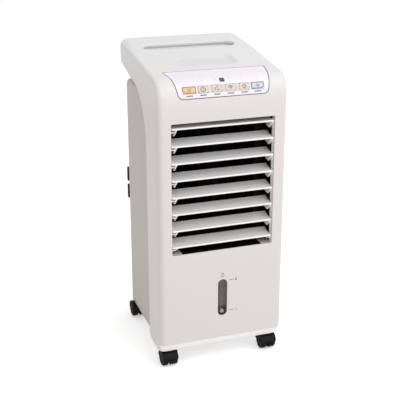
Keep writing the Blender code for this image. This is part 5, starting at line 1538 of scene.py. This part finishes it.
def pad_with_painted_shade(colours):
    """Wet paper: pale on the cells' rims, dark in their depth as painted shade, with upright fibres."""
    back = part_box("evaporative_pad")[1].y
    paint = Paint("paper_with_painted_shade")
    # Painted shade: the paper darkens into each cell's depth, where shade falls
    deep = (back - paint.axis(paint.place(), Y)).ramp(0.0004, 0.004)
    fibre = paint.noise(700.0, detail=4.0, stretch=(1.0, 1.0, 0.3))
    base = paint.mix(deep, toned(colours.pad, 1.25), toned(colours.pad, 0.25))
    paint.feed("Base Color", paint.mix(0.35 * fibre, base, toned(colours.pad, 0.5)))
    paint.feed("Roughness", 0.72 + 0.2 * fibre)
    paint.bump(fibre, depth=0.0002)
    return paint.material


def build_pad(colours):
    """Wet pad: a plan outline whose back ripples in x and z into open cells, carried up in z."""
    low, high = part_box("evaporative_pad")
    cell_wide, cell_tall, cell_deep, rim_width = 0.0095, 0.0125, 0.0045, 0.004
    x = np.linspace(low.x, high.x, 181)
    z = np.linspace(low.z, high.z, 241)
    cell = np.sin(x[None] * 2 * pi / cell_wide) * np.sin(z[:, None] * 2 * pi / cell_tall)
    dent = cell_deep * np.clip(np.abs(cell) * 1.6 - 0.25, 0, 1)
    aside = np.minimum(x - low.x, high.x - x)[None]
    upright = np.minimum(z - low.z, high.z - z)[:, None]
    dent = dent * np.clip(np.minimum(aside, upright) / rim_width, 0, 1)
    back = np.stack(np.broadcast_arrays(x[None], high.y - dent, z[:, None]), axis=-1)[:, ::-1]
    face = np.stack(np.broadcast_arrays(x[None, ::6], low.y, z[:, None]), axis=-1)
    skin = Skin()
    skin.tube(np.concatenate([face, back], axis=1))
    paper = pad_with_painted_shade(colours)
    finish_piece("wet_pad", skin, "cabinet", [paper], ["evaporative_pad"], crease=30.0)


def tank_steps(low, high, wall):
    """The tank wall's (inset, height) pairs: up the outside past two grooves, over the rim, down inside."""
    turn = np.linspace(0, pi / 2, 6)
    soft, inner, groove = 0.005, 0.006, 0.0009
    steps = list(zip(soft * (1 - np.sin(turn)), low + soft * (1 - np.cos(turn))))
    for share in (0.3, 0.6):
        at = low + share * (high - low)
        steps += [(0.0, at - 0.004), (groove, at - 0.002), (groove, at + 0.002), (0.0, at + 0.004)]
    curl = np.linspace(0, pi, 7)
    steps += zip(wall / 2 * (1 - np.cos(curl)), high - wall / 2 + wall / 2 * np.sin(curl))
    steps += zip(wall + inner * (1 - np.cos(turn)), low + wall + inner * (1 - np.sin(turn)))
    return np.asarray(steps)


def tank_grey_and_painted_shade(colours):
    """Grey tank plastic, paler upwards, with a black strip on its front behind the level window that paints
    the shade seen through the window.
    """
    low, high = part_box("water_tank")
    paint = Paint("tank_grey", Coat_Weight=0.15, Coat_Roughness=0.3)
    spot = paint.place()
    level = paint.axis(spot, Z).ramp(low.z, high.z)
    cloud = paint.noise(22.0, detail=4.0)
    base = paint.mix(level, toned(colours.tank, 0.82), toned(colours.tank, 1.12))
    base = paint.mix(0.18 * cloud, base, toned(colours.tank, 0.7))
    # Painted shade: a black strip behind the level window stands for the dark inside seen through it
    strip = 1 - abs(paint.axis(spot, X)).ramp(0.0125, 0.0130)
    strip = strip * (1 - paint.axis(spot, Y).ramp(low.y + 0.0008, low.y + 0.0012))
    paint.feed("Base Color", paint.mix(strip, base, colours.black))
    paint.feed("Roughness", 0.36 + 0.12 * cloud)
    paint.bump(paint.noise(650.0), depth=0.00005)
    return paint.material


def build_tank(sizes, colours):
    """Water tank: a rounded plan outline carried up the outside, over a rolled rim and down inside."""
    low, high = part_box("water_tank")
    back = HOUSING_HIGH.y
    outline = rounded(rectangle(low.x, high.x, low.y, back), 0.009, steps=8)
    steps = tank_steps(low.z, high.z, sizes.wall)
    skin = Skin()
    skin.tube(spread(Z, steps[:, 1:], nested(outline, steps[:, 0])))
    lip_root, lip_half = back - 0.001, 0.045
    lip_top = (low.z + high.z) / 2
    lip_foot = lip_top - 0.007
    corners = [
        (lip_root, lip_foot),
        (high.y - 0.002, lip_foot),
        (high.y, lip_top - 0.010),
        (high.y, lip_top),
        (lip_root, lip_top),
    ]
    lip = rounded(corners, [0.0005, 0.0015, 0.0008, 0.0022, 0.0005], steps=5)
    prism(skin, X, lip, -lip_half, lip_half, edge=0.0008)
    grey = tank_grey_and_painted_shade(colours)
    finish_piece("slide_tank", skin, "water_tank", [grey], ["water_tank"], crease=35.0)


# Inner parts


def steel_finish(colours):
    """Brushed steel of the motor cans."""
    paint = Paint("motor_steel", Metallic=0.9)
    brushed = paint.noise(500.0, detail=3.0, stretch=(1.0, 1.0, 0.06))
    paint.feed("Base Color", paint.mix(brushed, toned(colours.steel, 0.8), colours.steel))
    paint.feed("Roughness", 0.28 + 0.2 * brushed)
    return paint.material


def board_finish(colours):
    """Green lacquer over paler traces."""
    paint = Paint("board_green", Coat_Weight=0.4)
    trace = paint.noise(300.0, detail=1.0, stretch=(1.0, 0.2, 1.0)).ramp(0.52, 0.56)
    paint.feed("Base Color", paint.mix(trace, colours.board, toned(colours.board, 2.2)))
    paint.feed("Roughness", 0.35 + 0.2 * trace)
    return paint.material


def hose_finish(colours):
    """Pale hose plastic with faint rings."""
    paint = Paint("hose_clear", Coat_Weight=0.3)
    rings = paint.noise(260.0, detail=2.0, stretch=(0.1, 0.1, 1.0))
    paint.feed("Base Color", paint.mix(rings, colours.hose_ring, colours.hose))
    paint.feed("Roughness", 0.25 + 0.2 * rings)
    return paint.material


def inner_finishes(colours):
    """Finishes for the CAD nodes that stay, by their slots."""
    return {
        "white_inner": moulded("white_inner", colours.inner, rough=0.45, mottle=0.03),
        "white_shell": moulded("white_parts", colours.shell, rough=0.42, mottle=0.03),
        "black_duct": moulded("black_duct", colours.black, rough=0.7, mottle=0.2, grain=0.00006, shine=0.08),
        "castor_black": moulded("black_parts", colours.rubber, rough=0.5, mottle=0.2, grain=0.00006),
        "motor_steel": steel_finish(colours),
        "board_green": board_finish(colours),
        "hose_clear": hose_finish(colours),
        "tank_grey": moulded("grey_parts", colours.tank, rough=0.45, mottle=0.05),
    }


def dress_inner_nodes(colours):
    """Puts a finish on each CAD node that still shows."""
    finishes = inner_finishes(colours)
    hidden = set()
    for thing in bpy.data.objects:
        hidden.update(thing.get("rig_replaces", ()))
    for name, node in frame["nodes"].items():
        if name in hidden:
            continue
        slot = node.data.materials[0].name.split(".")[0]
        node.data.materials[0] = finishes["black_duct" if name in AIR_WALLS else slot]


# Stage


def build_stage(studio):
    """Pale floor, even sky, a broad lamp above and a smaller one in front, and the camera."""
    bpy.context.scene.view_settings.view_transform = "Standard"
    build_floor(studio)
    build_sky(studio)
    lamp("lamp_above", place=(0.9, -1.3, 2.3), target=(0.0, 0.0, 0.45), size=1.6, power=studio.key)
    lamp("lamp_front", place=(0.1, -1.9, 0.95), target=(0.0, 0.0, 0.40), size=1.0, power=studio.fill)
    build_camera(studio)


def build_sky(studio):
    """Even white light all round, and full white for the rays that are seen."""
    world = bpy.data.worlds.new("studio")
    world.use_nodes = True
    bpy.context.scene.world = world
    tree = world.node_tree
    white = (1.0, 1.0, 1.0, 1.0)
    light = tree.nodes["Background"]
    light.inputs["Color"].default_value = white
    light.inputs["Strength"].default_value = studio.sky
    backdrop = tree.nodes.new("ShaderNodeBackground")
    backdrop.inputs["Color"].default_value = white
    blend = tree.nodes.new("ShaderNodeMixShader")
    tree.links.new(seen_rays(tree), blend.inputs["Fac"])
    tree.links.new(light.outputs["Background"], blend.inputs[1])
    tree.links.new(backdrop.outputs["Background"], blend.inputs[2])
    tree.links.new(blend.outputs["Shader"], tree.nodes["World Output"].inputs["Surface"])


def build_camera(studio):
    """The camera, with its lens, shift and place."""
    scene = bpy.context.scene
    camera = bpy.data.objects.new("camera", bpy.data.cameras.new("camera"))
    camera.data.lens = studio.lens
    camera.data.shift_y = studio.shift
    camera.location = studio.place
    camera.rotation_euler = (pi / 2 - studio.pitch, 0.0, -studio.yaw)
    scene.collection.objects.link(camera)
    scene.camera = camera


def seen_rays(tree):
    """1 for rays from the camera, a reflection or clear plastic, 0 for rays that light the scene."""
    path = tree.nodes.new("ShaderNodeLightPath")
    total = path.outputs["Is Camera Ray"]
    for name in ("Is Glossy Ray", "Is Transmission Ray"):
        either = tree.nodes.new("ShaderNodeMath")
        either.operation = "MAXIMUM"
        tree.links.new(total, either.inputs[0])
        tree.links.new(path.outputs[name], either.inputs[1])
        total = either.outputs["Value"]
    return total


def build_floor(studio):
    """Flat floor whose seen colour is lifted to white, so that only the cooler's shadow shows on it."""
    far = 6.0
    mesh = bpy.data.meshes.new("floor")
    mesh.from_pydata([(far * x, far * y, 0) for x, y in CORNERS], [], [(0, 1, 2, 3)])
    floor = bpy.data.objects.new("floor", mesh)
    bpy.context.scene.collection.objects.link(floor)
    paint = Paint("floor_white", Roughness=0.9, Specular_IOR_Level=0.1, Emission_Strength=1.0)
    seen = Signal(paint, seen_rays(paint.tree))
    dull, pale, bright = (0.93,) * 3, (0.95,) * 3, (0.98,) * 3
    tone = paint.mix(paint.noise(3.0), dull, pale)
    paint.feed("Base Color", paint.mix(seen, tone, bright))
    paint.feed("Emission Color", paint.mix(seen, (0.0,) * 3, (studio.glow,) * 3))
    mesh.materials.append(paint.material)


def lamp(name, place, target, size, power):
    """A square area lamp aimed at a point."""
    light = bpy.data.lights.new(name, "AREA")
    light.size = size
    light.energy = power
    thing = bpy.data.objects.new(name, light)
    bpy.context.scene.collection.objects.link(thing)
    way = np.asarray(target) - np.asarray(place)
    flat = np.hypot(way[0], way[1])
    thing.location = place
    thing.rotation_euler = (np.arctan2(flat, -way[2]), 0.0, -np.arctan2(way[0], way[1]))


# Operators and panel


class COOLER_OT_hood(Operator):
    """Build the hood"""

    bl_idname = "cooler.hood"
    bl_label = "Hood"

    def execute(self, context):
        build_hood(context.scene.cooler_sizes, context.scene.cooler_colours)
        return {"FINISHED"}


class COOLER_OT_cup(Operator):
    """Build the cup under the hand slot"""

    bl_idname = "cooler.cup"
    bl_label = "Handle cup"

    def execute(self, context):
        build_handle_cup(context.scene.cooler_sizes, context.scene.cooler_colours)
        return {"FINISHED"}


class COOLER_OT_housing(Operator):
    """Build the rear housing"""

    bl_idname = "cooler.housing"
    bl_label = "Rear housing"

    def execute(self, context):
        build_housing(context.scene.cooler_sizes, context.scene.cooler_colours)
        return {"FINISHED"}


class COOLER_OT_blades(Operator):
    """Build the outlet blades"""

    bl_idname = "cooler.blades"
    bl_label = "Blades"

    def execute(self, context):
        build_blades(context.scene.cooler_sizes, context.scene.cooler_colours)
        return {"FINISHED"}


class COOLER_OT_cheeks(Operator):
    """Build the cheeks and ledges inside the outlet"""

    bl_idname = "cooler.cheeks"
    bl_label = "Outlet cheeks"

    def execute(self, context):
        build_cheeks(context.scene.cooler_sizes, context.scene.cooler_colours)
        return {"FINISHED"}


class COOLER_OT_film(Operator):
    """Build the control panel's film"""

    bl_idname = "cooler.film"
    bl_label = "Panel film"

    def execute(self, context):
        build_film(context.scene.cooler_sizes, context.scene.cooler_colours)
        return {"FINISHED"}


class COOLER_OT_panel_marks(Operator):
    """Build the marks printed on the film"""

    bl_idname = "cooler.panel_marks"
    bl_label = "Panel marks"

    def execute(self, context):
        build_panel_marks(context.scene.cooler_sizes, context.scene.cooler_colours)
        return {"FINISHED"}


class COOLER_OT_display(Operator):
    """Build the display"""

    bl_idname = "cooler.display"
    bl_label = "Display"

    def execute(self, context):
        build_display(context.scene.cooler_sizes, context.scene.cooler_colours)
        return {"FINISHED"}


class COOLER_OT_keys(Operator):
    """Build the push keys"""

    bl_idname = "cooler.keys"
    bl_label = "Keys"

    def execute(self, context):
        build_keys(context.scene.cooler_sizes, context.scene.cooler_colours)
        return {"FINISHED"}


class COOLER_OT_window(Operator):
    """Build the level window"""

    bl_idname = "cooler.window"
    bl_label = "Level window"

    def execute(self, context):
        build_window(context.scene.cooler_sizes, context.scene.cooler_colours)
        return {"FINISHED"}


class COOLER_OT_float(Operator):
    """Build the level float"""

    bl_idname = "cooler.float"
    bl_label = "Level float"

    def execute(self, context):
        build_float(context.scene.cooler_colours)
        return {"FINISHED"}


class COOLER_OT_gauge_marks(Operator):
    """Build the marks printed beside the level window"""

    bl_idname = "cooler.gauge_marks"
    bl_label = "Gauge marks"

    def execute(self, context):
        build_gauge_marks(context.scene.cooler_sizes, context.scene.cooler_colours)
        return {"FINISHED"}


class COOLER_OT_castors(Operator):
    """Build the four castors"""

    bl_idname = "cooler.castors"
    bl_label = "Castors"

    def execute(self, context):
        build_castors(context.scene.cooler_sizes, context.scene.cooler_colours)
        return {"FINISHED"}


class COOLER_OT_intake_cover(Operator):
    """Build the intake cover"""

    bl_idname = "cooler.intake_cover"
    bl_label = "Intake cover"

    def execute(self, context):
        build_intake_cover(context.scene.cooler_sizes, context.scene.cooler_colours)
        return {"FINISHED"}


class COOLER_OT_grips(Operator):
    """Build the finger grips"""

    bl_idname = "cooler.grips"
    bl_label = "Finger grips"

    def execute(self, context):
        build_grips(context.scene.cooler_colours)
        return {"FINISHED"}


class COOLER_OT_button(Operator):
    """Build the turn button"""

    bl_idname = "cooler.button"
    bl_label = "Turn button"

    def execute(self, context):
        build_button(context.scene.cooler_sizes, context.scene.cooler_colours)
        return {"FINISHED"}


class COOLER_OT_bush(Operator):
    """Build the cord bush"""

    bl_idname = "cooler.bush"
    bl_label = "Cord bush"

    def execute(self, context):
        build_bush(context.scene.cooler_colours)
        return {"FINISHED"}


class COOLER_OT_pad(Operator):
    """Build the wet pad"""

    bl_idname = "cooler.pad"
    bl_label = "Wet pad"

    def execute(self, context):
        build_pad(context.scene.cooler_colours)
        return {"FINISHED"}


class COOLER_OT_tank(Operator):
    """Build the water tank"""

    bl_idname = "cooler.tank"
    bl_label = "Water tank"

    def execute(self, context):
        build_tank(context.scene.cooler_sizes, context.scene.cooler_colours)
        return {"FINISHED"}


class COOLER_OT_inner(Operator):
    """Dress the inner parts that keep their frame shapes"""

    bl_idname = "cooler.inner"
    bl_label = "Inner parts"

    def execute(self, context):
        dress_inner_nodes(context.scene.cooler_colours)
        return {"FINISHED"}


class COOLER_OT_stage(Operator):
    """Set up the floor, the light and the camera"""

    bl_idname = "cooler.stage"
    bl_label = "Stage"

    def execute(self, context):
        build_stage(context.scene.cooler_studio)
        return {"FINISHED"}


OPERATORS = (
    COOLER_OT_hood,
    COOLER_OT_cup,
    COOLER_OT_housing,
    COOLER_OT_blades,
    COOLER_OT_cheeks,
    COOLER_OT_film,
    COOLER_OT_panel_marks,
    COOLER_OT_display,
    COOLER_OT_keys,
    COOLER_OT_window,
    COOLER_OT_float,
    COOLER_OT_gauge_marks,
    COOLER_OT_castors,
    COOLER_OT_intake_cover,
    COOLER_OT_grips,
    COOLER_OT_button,
    COOLER_OT_bush,
    COOLER_OT_pad,
    COOLER_OT_tank,
    COOLER_OT_inner,
    COOLER_OT_stage,
)


class COOLER_PT_looks(Panel):
    """Sidebar list of the cooler's pieces"""

    bl_idname = "COOLER_PT_looks"
    bl_label = "Tower cooler"
    bl_space_type = "VIEW_3D"
    bl_region_type = "UI"
    bl_category = "Cooler"

    def draw(self, context):
        for operator in OPERATORS:
            self.layout.operator(operator.bl_idname)
        for group, kind in GROUPS.items():
            for name in kind.__annotations__:
                self.layout.prop(getattr(context.scene, group), name)


GROUPS = {"cooler_sizes": CoolerSizes, "cooler_colours": CoolerColours, "cooler_studio": CoolerStudio}


def register():
    """Registers the classes and hangs the settings on the scene."""
    for kind in (*GROUPS.values(), *OPERATORS, COOLER_PT_looks):
        bpy.utils.register_class(kind)
    for name, group in GROUPS.items():
        setattr(bpy.types.Scene, name, PointerProperty(type=group))


def unregister():
    """Takes the settings off the scene and unregisters the classes."""
    for name in GROUPS:
        delattr(bpy.types.Scene, name)
    for kind in (COOLER_PT_looks, *reversed(OPERATORS), *GROUPS.values()):
        bpy.utils.unregister_class(kind)


def main():
    """Builds every piece and the stage."""
    register()
    for operator in OPERATORS:
        group, name = operator.bl_idname.split(".")
        getattr(getattr(bpy.ops, group), name)()


if __name__ == "__main__":
    main()
